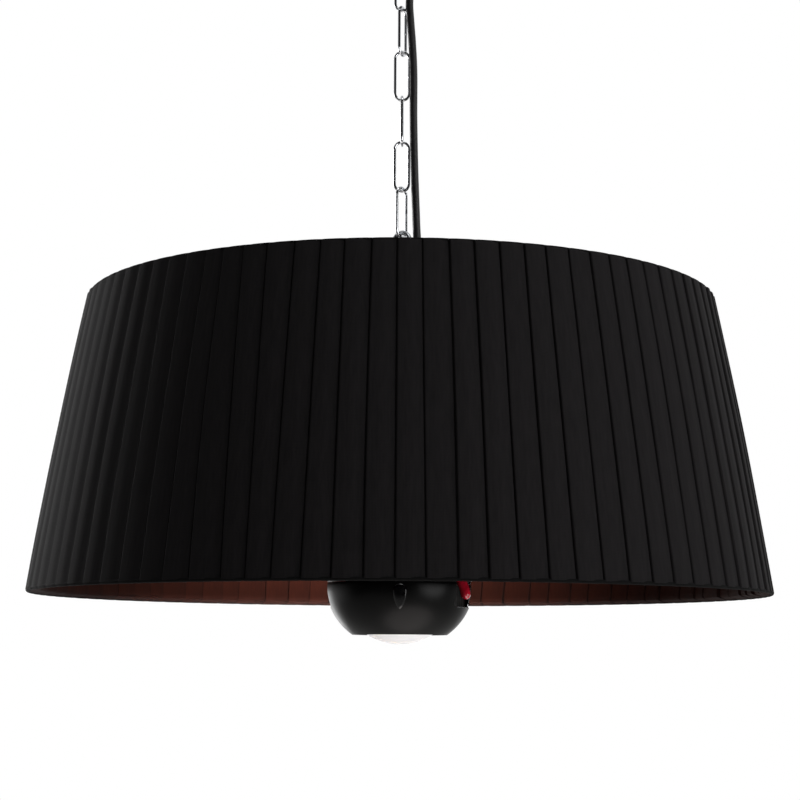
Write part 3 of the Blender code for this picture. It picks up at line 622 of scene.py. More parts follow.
# The chain: six long welded links and the two eyes that hold it
chain = {
    "length": 0.045,
    "width": 0.0146,
    "wire": 0.0025,
    "twists": (0, 63, 3, 88, 3, 50),
    "weldSwell": 0.10,
    "weldReach": 0.0013,
    "eyeRadius": 0.009,
    "eyeWire": 0.004,
    "boltRadius": 0.003,
    "threadPitch": 0.0008,
    "threadDepth": 0.0003,
    "sides": 18,
}


def linkPath(centreZ):
    # A long oval of two half circles and two straight runs, in X and Z, with points an even way apart.
    # The second value is each point's way along the wire from the weld, in the middle of one straight run.
    bend = (chain["width"] - chain["wire"]) / 2
    run = (chain["length"] - chain["wire"]) / 2 - bend
    end = math.pi * bend
    along = np.linspace(0, 2 * end + 4 * run, 128, endpoint=False)
    stages = [along < end, along < end + 2 * run, along < 2 * end + 2 * run]
    turn = np.where(stages[0], along, along - 2 * run) / bend
    climb = along - 2 * end - 2 * run
    reach, rise = bend * np.cos(turn), bend * np.sin(turn)
    x = np.select(stages, [reach, -bend, reach], bend)
    z = np.select(stages, [run + rise, run - along + end, rise - run], climb - run)
    return np.stack([x, 0 * x, z + centreZ], axis=1), np.abs(climb - run)


def makeChain():
    for number, twist in enumerate(chain["twists"], 1):
        node = f"chain_link_{number}"
        path, fromWeld = linkPath(boxMiddle(node)[2])
        swell = 1 + chain["weldSwell"] * np.exp(-((fromWeld / chain["weldReach"]) ** 2))
        radius = chain["wire"] / 2 * swell
        mesh = sweptMesh(f"weldedLink{number}", path, radius, True, chain["sides"], (0, 1, 0))
        newPiece(moved(mesh, rotation(twist)), chainChrome, node, body=f"link_{number}")


def eyeMesh(name, centreZ, shankLow, shankHigh, shankRadius):
    # A round eye upright in Y and Z, and a shank whose lower part has ridges a thread's pitch apart.
    turn = fullTurn(96)
    ring = chain["eyeRadius"] * np.stack([0 * turn, np.cos(turn), np.sin(turn)], axis=1)
    path = ring + np.array([0, 0, centreZ])
    eye = sweptMesh(name, path, chain["eyeWire"] / 2, True, chain["sides"], (1, 0, 0))
    count = int((shankHigh - shankLow) / chain["threadPitch"]) * 2
    heights = np.linspace(shankHigh, shankLow, count)
    threaded = np.abs(heights - centreZ) >= chain["eyeRadius"] + chain["eyeWire"] * 1.5
    cut = threaded * (np.arange(count) % 2) * chain["threadDepth"]
    profile = [(0, shankHigh), *np.stack([shankRadius - cut, heights], axis=1), (0, shankLow)]
    return joinedMesh(name, [eye, turnedMesh(name + "Shank", profile, steps=32)])


def makeEyes():
    radius, half = chain["eyeRadius"], chain["eyeWire"] / 2
    low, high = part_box("ceiling_eye")
    centre = low.z + radius + half
    mesh = eyeMesh("ceilingEye", centre, centre + radius, high.z, half)
    newPiece(mesh, chainChrome, "ceiling_eye", body=ceiling)
    low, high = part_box("eye_bolt")
    centre = high.z - radius - half
    mesh = eyeMesh("hangerEyeBolt", centre, low.z, centre - radius, chain["boltRadius"])
    newPiece(moved(mesh, rotation(chain["twists"][-1])), zincSteel, "eye_bolt")


makeChain()
makeEyes()
print("chain made")


# The supply cable, in seven stretches from the ceiling to the heater
cable = {
    "diameter": 0.0066,
    "route": (  # across, toward the back, and up from the shade's lower rim; the same points as the CAD cable
        (0.0140, -0.0090, 0.5678),
        (0.0140, -0.0090, 0.5568),
        (0.0115, -0.0078, 0.5398),
        (0.0077, -0.0062, 0.5218),
        (0.0059, -0.0053, 0.5043),
        (0.0068, -0.0052, 0.4883),
        (0.0084, -0.0052, 0.4670),
        (0.0096, -0.0052, 0.4415),
        (0.0097, -0.0052, 0.4020),
        (0.0106, -0.0052, 0.3600),
        (0.0120, -0.0052, 0.3220),
        (0.0129, -0.0053, 0.3013),
        (0.0148, -0.0056, 0.2790),
        (0.0160, -0.0060, 0.2540),
        (0.0160, -0.0060, 0.2223),
    ),
    "firstBreak": 0.5188,
    "stretch": 0.0398,
    "pointsPerRun": 12,
    "cutMargin": 0.0008,  # nearest that a point of the route comes to a stretch's end
    "blendReach": 0.017,  # how far each stretch's blend span reaches to each side of its joint
    "blendInset": 0.001,
}


def cablePath():
    # A smooth curve through the route, whose slope at each point follows the points on both sides.
    knots = np.array(cable["route"]) + np.array([0, 0, rimZ])
    handles = np.gradient(knots, axis=0) / 3
    t = np.linspace(0, 1, cable["pointsPerRun"], endpoint=False)[None, :, None]
    leave, arrive = (knots + handles)[:-1, None], (knots - handles)[1:, None]
    curve = cubic(knots[:-1, None], leave, arrive, knots[1:, None], t)
    return np.concatenate([curve.reshape(-1, 3), knots[-1:]])


def pointAtHeight(path, height):
    share = np.interp(-height, -path[:, 2], np.arange(len(path)))
    return np.array([np.interp(share, np.arange(len(path)), path[:, i]) for i in range(3)])


def makeCable():
    whole = cablePath()
    links = [f"link_{number}" for number in range(1, len(chain["twists"]) + 1)]
    bodies = [ceiling, *links, heater]
    breaks = [rimZ + cable["firstBreak"] - i * cable["stretch"] for i in range(len(links))]
    ends = [whole[0, 2], *breaks, whole[-1, 2]]
    margin, reach, inset = cable["cutMargin"], cable["blendReach"], cable["blendInset"]
    blends = []
    for number, (high, low) in enumerate(zip(ends, ends[1:])):
        inside = whole[(whole[:, 2] < high - margin) & (whole[:, 2] > low + margin)]
        path = np.concatenate([[pointAtHeight(whole, high)], inside, [pointAtHeight(whole, low)]])
        mesh = sweptMesh(f"mainsCable{number + 1}", path, cable["diameter"] / 2, False, 24, (0, 1, 0))
        made = newPiece(mesh, cablePvc, "supply_cable", body=None)
        joint = frame["joints"][number]["pos_m"][2]
        upper = (0, 0, min(high - inset, joint + reach))
        lower = (0, 0, max(low + inset, joint - reach))
        blends.append((bodies[number], bodies[number + 1], upper, lower))
        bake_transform(made)
    return whole, blends


# Fittings of the ceiling end, the hanger and the can: turned pieces, nuts, slotted screws and two glands
fittings = {
    "ceilingRadius": 0.0547,
    "ceilingDepth": 0.0345,
    "ceilingBevel": 0.0045,
    "sheet": 0.0015,
    "clearance": 0.0003,
    "plateRim": 0.010,
    "plateWall": 0.002,
    "plateThick": 0.003,
    "bossRadius": 0.008,
    "bossBore": 0.006,
    "eyeShank": 0.002,
    "nutChamfer": 0.0006,
    "headCrown": 0.55,  # share of a screw head's height that is domed
    "slotWidth": 0.0008,
    "slotDepth": 0.0007,
    "canopyScrew": (0.003, 0.002, 0.0015),  # head radius, head height and shank radius
    "canopyScrewLength": 0.011,
    "plateScrew": (0.0035, 0.002, 0.0018),
    "glandThread": 0.0055,
    "gripBevel": 0.0012,
    "glandFlange": 0.0022,
    "glandStep": 0.0009,
    "nutRib": 0.0004,
    "nutRibs": 12,
    "nutMouth": 0.0062,
    "armWire": 0.004,
    "armWeld": 0.0018,
    "sleeveLength": 0.020,
    "sleeveWall": 0.0018,
    "sleeveLip": 0.0006,
    "sleeveRibs": 6,
    "sleeveGroove": 0.0005,
}


def lathe(node, finish, corners, rounding=0.0004, body=heater, centre=(0, 0, 0), steps=96, turn=Matrix()):
    # A turned piece in place of a CAD node, with the corners of its profile eased.
    mesh = turnedMesh(pieceName(node), softened(corners, rounding), centre, steps)
    return newPiece(moved(mesh, turn), finish, node, body=body)


def nutMesh(node, bore):
    # A hexagon whose flats are at a set distance, cut back to a circle at its two faces, with a round bore.
    low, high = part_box(node)
    turn = fullTurn(96)[:, None]
    flat = high.y * math.cos(math.pi / 6)
    hexagon = flat / np.cos((turn + np.pi / 6) % (np.pi / 3) - np.pi / 6)
    face = np.minimum(hexagon, flat * 0.97)
    cutBack = fittings["nutChamfer"] * (hexagon - face) / (high.y - flat * 0.97)
    radii = columns(bore, face, hexagon, hexagon, face, bore)
    levels = columns(low.z, low.z, low.z + cutBack, high.z - cutBack, high.z, high.z)
    return surfaceMesh(pieceName(node), polar(radii, turn, levels), True, True, 25)


def carve(mesh, *cutters):
    # Takes the cutters' shapes out of the mesh and gives the result as a new mesh.
    base = addObject("base", mesh)
    tools = [addObject("tool", cutter) for cutter in cutters]
    for tool in tools:
        step = base.modifiers.new("cut", "BOOLEAN")
        step.object = tool
        step.solver = "EXACT"
    bpy.context.view_layer.update()
    made = bpy.data.meshes.new_from_object(base.evaluated_get(bpy.context.evaluated_depsgraph_get()))
    made.name = mesh.name
    for old in [base, *tools]:
        bpy.data.objects.remove(old)
    return eased(made)


def boxMesh(name, low, high):
    shape = bmesh.new()
    bmesh.ops.create_cube(shape, size=1)
    low, high = Vector(low), Vector(high)
    fit = Matrix.Translation((low + high) / 2) @ Matrix.Diagonal((*(high - low), 1))
    return moved(fromShape(name, shape), fit)


def screwMesh(node, head, headThick, shank, length):
    # A domed, slotted head on a shank, standing on Z with the head's top at 0.
    crown = headThick * fittings["headCrown"]
    dome = [(head * math.sin(t), crown * (math.cos(t) - 1)) for t in np.linspace(0, math.pi / 2, 9)]
    profile = [*dome, (head, -headThick), (shank, -headThick), (shank, -length), (0, -length)]
    half, deep = fittings["slotWidth"] / 2, fittings["slotDepth"]
    slot = boxMesh("slot", (-head * 2, -half, -deep), (head * 2, half, head * 2))
    return carve(turnedMesh(pieceName(node), profile, steps=48, sharp=30), slot)


def makeCeilingEnd():
    wide, sheet, gap = fittings["ceilingRadius"], fittings["sheet"], fittings["clearance"]
    bottom, bevel = -fittings["ceilingDepth"], fittings["ceilingBevel"]
    bore = fittings["eyeShank"] + gap
    inner = wide - sheet
    curve = [(bevel * (math.cos(t) - 1), bevel * (1 - math.sin(t))) for t in np.linspace(0, math.pi / 2, 10)]
    outside = [(wide + x, bottom + z) for x, z in curve]
    inside = [(inner + x, bottom + sheet + z) for x, z in curve[::-1]]
    profile = [(wide, -gap), *outside, (bore, bottom), (bore, bottom + sheet), *inside, (inner, -gap)]
    newPiece(turnedMesh("ceilingCanopy", profile, steps=128), blackEnamel, "ceiling_canopy", body=ceiling)
    low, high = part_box("ceiling_plate")
    rim, drop, thick, boss = high.x, fittings["plateRim"], fittings["plateThick"], fittings["bossRadius"]
    radii = [0, rim, rim - fittings["plateWall"], boss, bore, 0]
    plate = stairs(radii, [0, -drop, -thick, low.z, -fittings["bossBore"]])
    lathe("ceiling_plate", zincSteel, plate, 0.0005, ceiling)
    newPiece(nutMesh("eye_locknut", bore), chainChrome, "eye_locknut", body=ceiling)
    for side, word in ((-1, "left"), (1, "right")):
        node = "canopy_screw_" + word
        mesh = screwMesh(node, *fittings["canopyScrew"], fittings["canopyScrewLength"])
        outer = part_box(node)[side > 0].x
        place = Matrix.Translation((outer, 0, boxMiddle(node)[2]))
        newPiece(moved(mesh, place @ rotation(side * 90, "Y")), screwChrome, node, body=ceiling)


def makeGlands():
    gap, thread = fittings["clearance"], fittings["glandThread"]
    inner = cable["diameter"] / 2 + gap
    low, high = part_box("ceiling_cord_grip")
    wide, bevel = (high.x - low.x) / 2, fittings["gripBevel"]
    neck = -fittings["ceilingDepth"] - gap
    grip = [(thread, high.z), (thread, neck), (wide, neck), (wide, low.z + bevel), (wide - bevel, low.z),
            (inner, low.z), (inner, high.z)]
    centre = (*boxMiddle("ceiling_cord_grip")[:2], 0)
    lathe("ceiling_cord_grip", blackNylon, grip, 0.0005, ceiling, centre, 64)
    gripEnd = low.z
    low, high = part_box("cable_gland")
    wide, top = (high.x - low.x) / 2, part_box("top_plate")[1].z + gap
    flange, narrow = top + fittings["glandFlange"], wide - fittings["glandStep"]
    body = [(thread, low.z), (thread, top), (wide, top), (wide, flange), (narrow, flange + 0.0004),
            (narrow, high.z - 0.0004), (narrow - 0.0005, high.z), (inner, high.z), (inner, low.z)]
    centre = (*boxMiddle("cable_gland")[:2], 0)
    lathe("cable_gland", blackNylon, body, 0.0003, centre=centre, steps=64)
    low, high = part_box("gland_nut")
    turn = fullTurn(144)[:, None]
    rib = fittings["nutRib"]
    ribs = (high.x - low.x) / 2 - rib * (0.5 - 0.5 * np.cos(fittings["nutRibs"] * turn))
    radii = columns(inner, ribs - rib, ribs, ribs, ribs - rib * 1.5, fittings["nutMouth"], inner)
    levels = low.z + (high.z - low.z) * np.array([0, 0, 0.05, 0.62, 0.74, 1, 1])
    points = polar(radii, turn, levels, centre)
    newPiece(surfaceMesh("glandNut", points, True, True, 30), blackNylon, "gland_nut")
    return gripEnd, high.z


def makeHanger():
    low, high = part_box("top_plate")
    lathe("top_plate", satinEnamel, stairs([0, high.x, 0], [high.z, low.z]), 0.0007)
    for word in ("upper", "lower"):
        node = "hanger_nut_" + word
        newPiece(nutMesh(node, chain["boltRadius"]), zincSteel, node)
    for number in (1, 2, 3):
        node = f"plate_screw_{number}"
        low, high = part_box(node)
        place = Matrix.Translation((*boxMiddle(node)[:2], high.z)) @ rotation(math.degrees(number))
        mesh = screwMesh(node, *fittings["plateScrew"], high.z - low.z)
        newPiece(moved(mesh, place), screwChrome, node)
    low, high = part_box("spider_arm_1")
    reach = np.linspace(low.y, high.y, 60)
    weld = fittings["armWeld"]
    bead = np.exp(-((high.y - reach) / weld) ** 2) + np.exp(-((reach - low.y) / weld) ** 2)
    path = polar(reach, 0, boxMiddle("spider_arm_1")[2])
    for number, azimuth in enumerate((90, 210, 330), 1):
        mesh = sweptMesh(f"spiderArm{number}", path, fittings["armWire"] / 2 * (1 + 0.16 * bead), False, 20)
        newPiece(moved(mesh, rotation(azimuth)), satinEnamel, f"spider_arm_{number}")


def makeSleeves(whole, blends, gripEnd, nutTop):
    # Ribbed rubber sleeves that taper away from the two glands and keep the cable from bending sharply there.
    inner, gap = cable["diameter"] / 2, fittings["clearance"]
    share = np.linspace(0, 1, 60)
    groove = fittings["sleeveGroove"] * (0.5 - 0.5 * np.cos(share * fittings["sleeveRibs"] * 2 * math.pi))
    wall = fittings["sleeveWall"] + (fittings["sleeveLip"] - fittings["sleeveWall"]) * share
    radius = inner + wall - groove * (share < 0.92)
    radius[-1] = inner
    for name, start, way, blend in (
        ("ceilingCableSleeve", gripEnd, -1, blends[0]),
        ("glandCableSleeve", nutTop, 1, blends[-1]),
    ):
        levels = start + way * (gap + fittings["sleeveLength"] * share)
        path = [pointAtHeight(whole, level) for level in levels]
        mesh = sweptMesh(name, path, radius, False, 32, (0, 1, 0))
        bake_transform(newPiece(mesh, cablePvc, body=None))


# The control can: housing and base, with the neck and the heat shield below it
can = {
    "sheet": 0.0015,
    "rimRoll": 0.0006,
    "foot": 0.006,
    "roof": 0.002,
    "mouth": 0.009,
    "baseBore": 0.010,
    "shieldThick": 0.0012,
    "shieldDrop": 0.003,
    "neckHole": 0.0223,
}


def makeCan():
    sheet, rolled = can["sheet"], can["rimRoll"]
    low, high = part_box("control_housing")
    wide, roof, mouth = high.x, high.z - can["roof"], high.x - can["mouth"]
    housing = [(wide, high.z), (wide, low.z + can["foot"]), (wide, low.z), (wide - sheet, low.z),
               (wide - sheet, roof), (mouth, roof), (mouth, high.z)]
    lathe("control_housing", satinEnamel, housing, rolled, steps=128)
    low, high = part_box("housing_base")
    inner = high.x - sheet
    base = stairs([inner, high.x, can["baseBore"], inner], [high.z, low.z, low.z + sheet])
    lathe("housing_base", satinEnamel, base, rolled)
    low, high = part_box("neck_tube")
    lathe("neck_tube", zincSteel, band(high.x, high.x - sheet, low.z, high.z), 0.0002)
    low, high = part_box("heat_shield")
    thick, drop, hole = can["shieldThick"], can["shieldDrop"], can["neckHole"]
    edge, top = high.x - drop, high.z
    shield = [(hole, top - thick), (hole, top), (edge, top), (high.x, top - drop),
              (high.x, top - drop - thick), (edge, top - thick)]
    lathe("heat_shield", spunAluminium, shield)


# The ball: an upper and a lower shell that meet at a seam, with a window for each lamp and a drop-shaped lens
ball = {
    "radius": 0.0600,
    "halfHeight": 0.051,
    "centre": 0.0075,
    "wall": 0.0015,
    "seam": 0.0105,
    "opening": -0.0315,
    "seamGap": 0.0003,
    "seamEase": 0.0004,
    "windowHalfAngle": 26,
    "windowLow": -0.0095,
    "windowHigh": 0.0124,
    "windowCorner": 0.006,
    "windowReach": 0.070,
    "windowAzimuths": (75, -105),
    "bezelWire": 0.0006,
    "bezelShort": 0.0004,  # how far below the window's top its bezel ends
    "lensWidth": 0.011,
    "lensTop": 0.0080,
    "lensTip": -0.0120,
    "lensMiddle": 0.002,  # height of the lens's rings' shared middle below its round top's centre
    "lensProud": 0.0013,
    "lensUpright": 8.5,
    "lensUprightTop": 0.002,
    "baffleBore": 0.033,
    "bracketBore": 0.0172,
}
windowHalf = ball["radius"] * math.sin(math.radians(ball["windowHalfAngle"]))


def ballRadius(height, inset=0.0):  # the ball's outline at a height, less an inset measured square to it
    tall = ball["halfHeight"] - inset
    return (ball["radius"] - inset) * np.sqrt(np.maximum(1 - ((height - ball["centre"]) / tall) ** 2, 0))


def heightAtHole(inset=0.0):  # where the ball's outline, less an inset, meets the hole for the neck
    share = can["neckHole"] / (ball["radius"] - inset)
    return ball["centre"] + (ball["halfHeight"] - inset) * math.sqrt(1 - share**2)


def ballArc(start, end, inset, count):
    # Points of (radius, height) on the ball between two heights, at even turns about its centre.
    tall = ball["halfHeight"] - inset
    first, last = np.arcsin((np.array([start, end]) - ball["centre"]) / tall)
    turn = np.linspace(first, last, count)
    return np.stack([(ball["radius"] - inset) * np.cos(turn), ball["centre"] + tall * np.sin(turn)], axis=1)


def facing(azimuth):  # turns +X to face an azimuth, from the front toward the right, and lifts to the rim
    return Matrix.Translation((0, 0, rimZ)) @ rotation(azimuth - 90)


def cornerCurve(count):  # the window's lower right corner, from its side to its lower edge
    turn = np.linspace(0, math.pi / 2, count)
    corner = ball["windowCorner"]
    across = windowHalf - corner + corner * np.cos(turn)
    return np.stack([across, ball["windowLow"] + corner - corner * np.sin(turn)], axis=1)


def windowCutter(azimuth):
    # A prism square to the window's middle, whose outline is a rectangle with rounded lower corners.
    right = cornerCurve(8)[::-1]
    high = ball["windowHigh"]
    outline = np.concatenate([right, [[windowHalf, high], [-windowHalf, high]], right[::-1] * [-1, 1]])
    shape = bmesh.new()
    depths = (lamp["troughBack"], ball["windowReach"])
    near, far = [[shape.verts.new((depth, *point)) for point in outline] for depth in depths]
    shape.faces.new(near)
    shape.faces.new(far[::-1])
    for i in range(len(near)):
        j = (i + 1) % len(near)
        shape.faces.new((near[i], far[i], far[j], near[j]))
    bmesh.ops.recalc_face_normals(shape, faces=shape.faces)
    return moved(fromShape("windowCutter", shape), facing(azimuth))


def bezelPath():
    # The window's lower outline laid on the ball: down one side, round the corners and up the other.
    bend = cornerCurve(12)
    side = np.linspace(ball["windowHigh"] - ball["bezelShort"], bend[0, 1], 20)[:, None]
    bottom = np.linspace(bend[-1, 0], 0, 16)[:, None]
    one = np.concatenate([columns(windowHalf, side), bend[1:], columns(bottom, ball["windowLow"])[1:]])
    outline = np.concatenate([one, one[::-1][1:] * [-1, 1]])
    radius = ballRadius(outline[:, 1], ball["wall"] * 0.35)
    depth = np.sqrt(radius**2 - outline[:, 0] ** 2)
    return np.stack([depth, outline[:, 0], outline[:, 1]], axis=1)


def lensMesh():
    # Rings of a drop outline, wide and round above and pointed below, laid on the ball. The face is slightly
    # crowned with a rounded edge, and stands off more toward the tip, nearer upright than the ball.
    rings = 10
    turn = fullTurn(96)
    wide = ball["lensWidth"] / 2
    middle = ball["lensTop"] - wide
    above = np.sin(turn) >= 0
    pointed = np.sign(np.cos(turn)) * np.abs(np.cos(turn)) ** 1.25
    x = wide * np.where(above, np.cos(turn), pointed)
    z = middle + np.where(above, wide, middle - ball["lensTip"]) * np.sin(turn)
    start = middle - ball["lensMiddle"]
    share = np.concatenate([np.linspace(0, 0.8, rings), [0.86, 0.91, 0.95, 0.98, 1.0, 1.0]])[:, None]
    crown = 1 - 0.12 * np.linspace(0, 1, rings) ** 2
    lift = np.concatenate([crown, [0.80, 0.66, 0.48, 0.28, 0.08, -3.0]])[:, None] * ball["lensProud"]
    across = share * x[None]
    level = start + share * (z[None] - start)
    depth = np.sqrt(np.maximum(ballRadius(level) ** 2 - across**2, 0)) + lift
    depth[:-1] += ball["lensUpright"] * np.clip(ball["lensUprightTop"] - level[:-1], 0, None) ** 2
    points = np.stack([across, -depth, level + rimZ], axis=-1)
    back = np.stack([0 * x, -depth[-1], 0 * x + start + rimZ], axis=-1)
    return surfaceMesh("receiverLens", np.concatenate([points, back[None]]), False, True, 50)


def makeBall():
    wall, seam = ball["wall"], ball["seam"]
    for node, start, end, innerEnd in (
        ("ball_upper_shell", seam, heightAtHole(), heightAtHole(wall)),
        ("ball_lower_shell", seam - ball["seamGap"], ball["opening"], ball["opening"]),
    ):
        outer = ballArc(start, end, 0, 44)
        outer[:, 0] -= ball["seamEase"] * np.exp(-np.abs(outer[:, 1] - start) / ball["seamEase"])
        profile = np.concatenate([outer, ballArc(innerEnd, start, wall, 30)])
        mesh = turnedMesh(pieceName(node), profile, (0, 0, rimZ), 160, 30)
        mesh = carve(mesh, *[windowCutter(azimuth) for azimuth in ball["windowAzimuths"]])
        newPiece(mesh, blackEnamel, node)
    for number, azimuth in enumerate(ball["windowAzimuths"], 1):
        radius = ball["bezelWire"] / 2
        mesh = sweptMesh(f"windowBezel{number}", bezelPath(), radius, False, 10, (1, 0.001, 0.002))
        newPiece(moved(mesh, facing(azimuth)), spunAluminium)
    newPiece(lensMesh(), lensAcrylic, "receiver_lens")
    for node, finish, bore in (
        ("baffle_ring", satinEnamel, ball["baffleBore"]),
        ("lamp_bracket", zincSteel, ball["bracketBore"]),
    ):
        low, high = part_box(node)
        lathe(node, finish, band(high.x, bore, low.z, high.z), 0.0003)


# The ruby lamps, their ceramic caps and holders, and a trough behind each
lamp = {
    "radius": 0.0042,
    "length": 0.026,
    "lean": 25,
    "tipRadius": 0.0562,
    "tipHeight": -0.0039,
    "visualTip": (0.0553, -0.0030),
    "bend": ((0.0553, 0.0070), (0.0508, 0.0150)),  # the tube curve's two handles
    "gap": 0.0003,
    "capRadius": 0.006,
    "capLength": 0.010,
    "pinch": 0.14,  # share by which the tube narrows toward its cap, and the lengths before its end
    "pinchLengths": (0.004, 0.002),
    "grooveAt": 0.45,
    "grooveDepth": 0.0006,
    "grooveWidth": 0.0020,
    "grooveBevel": 0.0004,
    "holderRadius": 0.007,
    "holderLength": 0.0077,
    "troughBack": 0.0437,
    "troughDepth": 0.005,
    "troughHalf": 0.0213,
    "troughThick": 0.0008,
    "troughLow": -0.011,
    "troughHigh": 0.008,
    "fluteDepth": 0.00012,
}


def troughMesh(name):
    # A sheet curved like a parabola in plan, with fine upright flutes on its front.
    share = np.linspace(-1, 1, 49)[:, None]
    rows = np.linspace(lamp["troughLow"] + 0.0008, lamp["troughHigh"], 14)
    level = np.concatenate([[lamp["troughLow"], lamp["troughLow"] + 0.0002], rows])[None]
    depth = lamp["troughBack"] + lamp["troughDepth"] * share**2
    half = lamp["troughThick"] / 2
    flute = lamp["fluteDepth"] * np.cos(share * 14 * math.pi)
    across = lamp["troughHalf"] * share
    sides = [np.broadcast_arrays(x, across, level) for x in (depth + half + flute, depth - half)]
    front, back = [np.stack(side, axis=-1) for side in sides]
    points = np.concatenate([front, back[:, ::-1]], axis=1)
    closing = [(points[i] + points[i][::-1])[None] / 2 for i in (0, -1)]
    points = np.concatenate([closing[0], points, closing[1]])
    return surfaceMesh(name, points, False, True, 30)


def tubeMesh(name):
    # A round-ended tube along a cubic curve that starts almost upright and bends inward to the cap.
    lean = math.radians(lamp["lean"])
    long = lamp["length"]
    end = (lamp["tipRadius"] - long * math.sin(lean), lamp["tipHeight"] + long * math.cos(lean))
    knots = np.array([lamp["visualTip"], *lamp["bend"], end])
    tip = [0, 0.0006, 0.0025, 0.007, 0.014, 0.024, 0.036]
    t = np.concatenate([tip, np.linspace(0.05, 0.12, 8), np.linspace(0.15, 1, 40)])[:, None]
    curve = cubic(*knots, t)
    gone = np.concatenate([[0], np.cumsum(np.linalg.norm(np.diff(curve, axis=0), axis=1))])
    wide = lamp["radius"]
    radius = np.sqrt(wide**2 - np.clip(wide - gone, 0, wide) ** 2)
    start, full = [gone[-1] - length for length in lamp["pinchLengths"]]
    radius *= 1 - lamp["pinch"] * smoothStep(start, full, gone)
    path = np.stack([curve[:, 0], 0 * gone, curve[:, 1]], axis=1)
    return sweptMesh(name, path, radius, False, 48, (0, 1, 0))


def makeLamps():
    capLow = lamp["length"] + lamp["gap"]
    capHigh = capLow + lamp["capLength"]
    holderLow = capHigh + lamp["gap"]
    holderHigh = holderLow + lamp["holderLength"]
    wide, narrow = lamp["capRadius"], lamp["capRadius"] - lamp["grooveDepth"]
    groove, bevel = capLow + lamp["capLength"] * lamp["grooveAt"], lamp["grooveBevel"]
    grooveEnd = groove + lamp["grooveWidth"]
    cap = [(0, capLow), (wide, capLow), (wide, groove), (narrow, groove + bevel), (narrow, grooveEnd - bevel),
           (wide, grooveEnd), (wide, capHigh), (0, capHigh)]
    holder = stairs([0, lamp["holderRadius"], 0], [holderLow, holderHigh])
    stand = Matrix.Translation((lamp["tipRadius"], 0, lamp["tipHeight"])) @ rotation(-lamp["lean"], "Y")
    for number, azimuth in enumerate(ball["windowAzimuths"], 1):
        turn = facing(azimuth)
        newPiece(moved(tubeMesh(f"rubyLamp{number}"), turn), rubyCoat, f"heat_lamp_{number}")
        lathe(f"lamp_cap_{number}", steatite, cap, 0.0005, steps=48, turn=turn @ stand)
        lathe(f"lamp_holder_{number}", zincSteel, holder, 0.0006, steps=48, turn=turn @ stand)
        # each trough's near black colour is painted shade inside its window
        newPiece(moved(troughMesh(f"lampTrough{number}"), turn), troughShadeSteel, f"reflector_{number}")


# The opal bulb, its screw cap and its ceramic holder
bulb = {
    "radius": 0.0315,
    "faceRadius": 0.050,
    "bottom": -0.039,
    "shoulder": 0.006,
    "shoulderRise": 0.0018,
    "neckRadius": 0.0127,
    "neckHeight": 0.030,
    "end": 0.034,
    "threadPitch": 0.0036,
    "threadDepth": 0.0009,
    "threadShort": 0.004,
    "coneShort": 0.0015,
    "tipRadius": 0.0045,
    "tipHeight": 0.001,
    "holderFlange": 0.0025,
    "flangeThick": 0.002,
    "holderBore": 0.0135,
    "holderRoof": 0.003,
}


def bulbProfile():
    # A shallow dome, a round shoulder and a neck that narrows by one smooth step.
    wide, face = bulb["radius"], bulb["faceRadius"]
    turn = np.linspace(0, math.asin((wide - bulb["shoulder"] / 2) / face), 16)
    dome = np.stack([face * np.sin(turn), bulb["bottom"] + face - face * np.cos(turn)], axis=1)
    edge = dome[-1]
    side = edge[1] + bulb["shoulder"]
    share = np.linspace(0, 1, 32)
    radius = wide + (bulb["neckRadius"] - wide) * smoothStep(0, 1, share)
    neck = np.stack([radius, side + (bulb["neckHeight"] - side) * share], axis=1)
    corner = np.array([wide, edge[1] + bulb["shoulderRise"]])
    shoulder = curved(edge, corner, neck[0], np.linspace(0, 1, 9)[1:-1, None])
    return np.concatenate([dome, shoulder, neck, [(bulb["neckRadius"], bulb["end"]), (0, bulb["end"])]])


def makeBulb():
    newPiece(turnedMesh("opalBulb", bulbProfile(), (0, 0, rimZ), 128), opal, "opal_bulb")
    low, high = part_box("bulb_cap")
    levels = np.linspace(low.z, high.z - bulb["threadShort"], 80)
    wave = np.cos((levels - low.z) / bulb["threadPitch"] * 2 * math.pi)
    ridges = high.x - bulb["threadDepth"] * (0.5 + 0.5 * wave)
    tip = bulb["tipRadius"]
    profile = [(0, low.z), *np.stack([ridges, levels], axis=1), (high.x * 0.72, high.z - bulb["coneShort"]),
               (tip, high.z - bulb["tipHeight"]), (tip, high.z), (0, high.z)]
    newPiece(turnedMesh("bulbCap", profile, steps=64), capAluminium, "bulb_cap")
    low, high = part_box("bulb_holder")
    wide = high.x - bulb["holderFlange"]
    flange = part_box("lamp_bracket")[1].z + fittings["clearance"]
    heights = [high.z, flange + bulb["flangeThick"], flange, low.z, high.z - bulb["holderRoof"]]
    lathe("bulb_holder", steatite, stairs([0, wide, high.x, wide, bulb["holderBore"], 0], heights), 0.0008)


makeCeilingEnd()
makeSleeves(*makeCable(), *makeGlands())
makeHanger()
print("ceiling end and hanger made")
makeCan()
makeBall()
makeLamps()
makeBulb()
print("heater head made")

for node, finish in (
    ("control_board", boardMask),
    ("terminal_block", steatite),
    ("power_relay", blackNylon),
    ("receiver_module", blackNylon),
):
    slots = frame["nodes"][node].data.materials
    for i in range(len(slots)):
        slots[i] = finish[0]
print("inner parts finished")


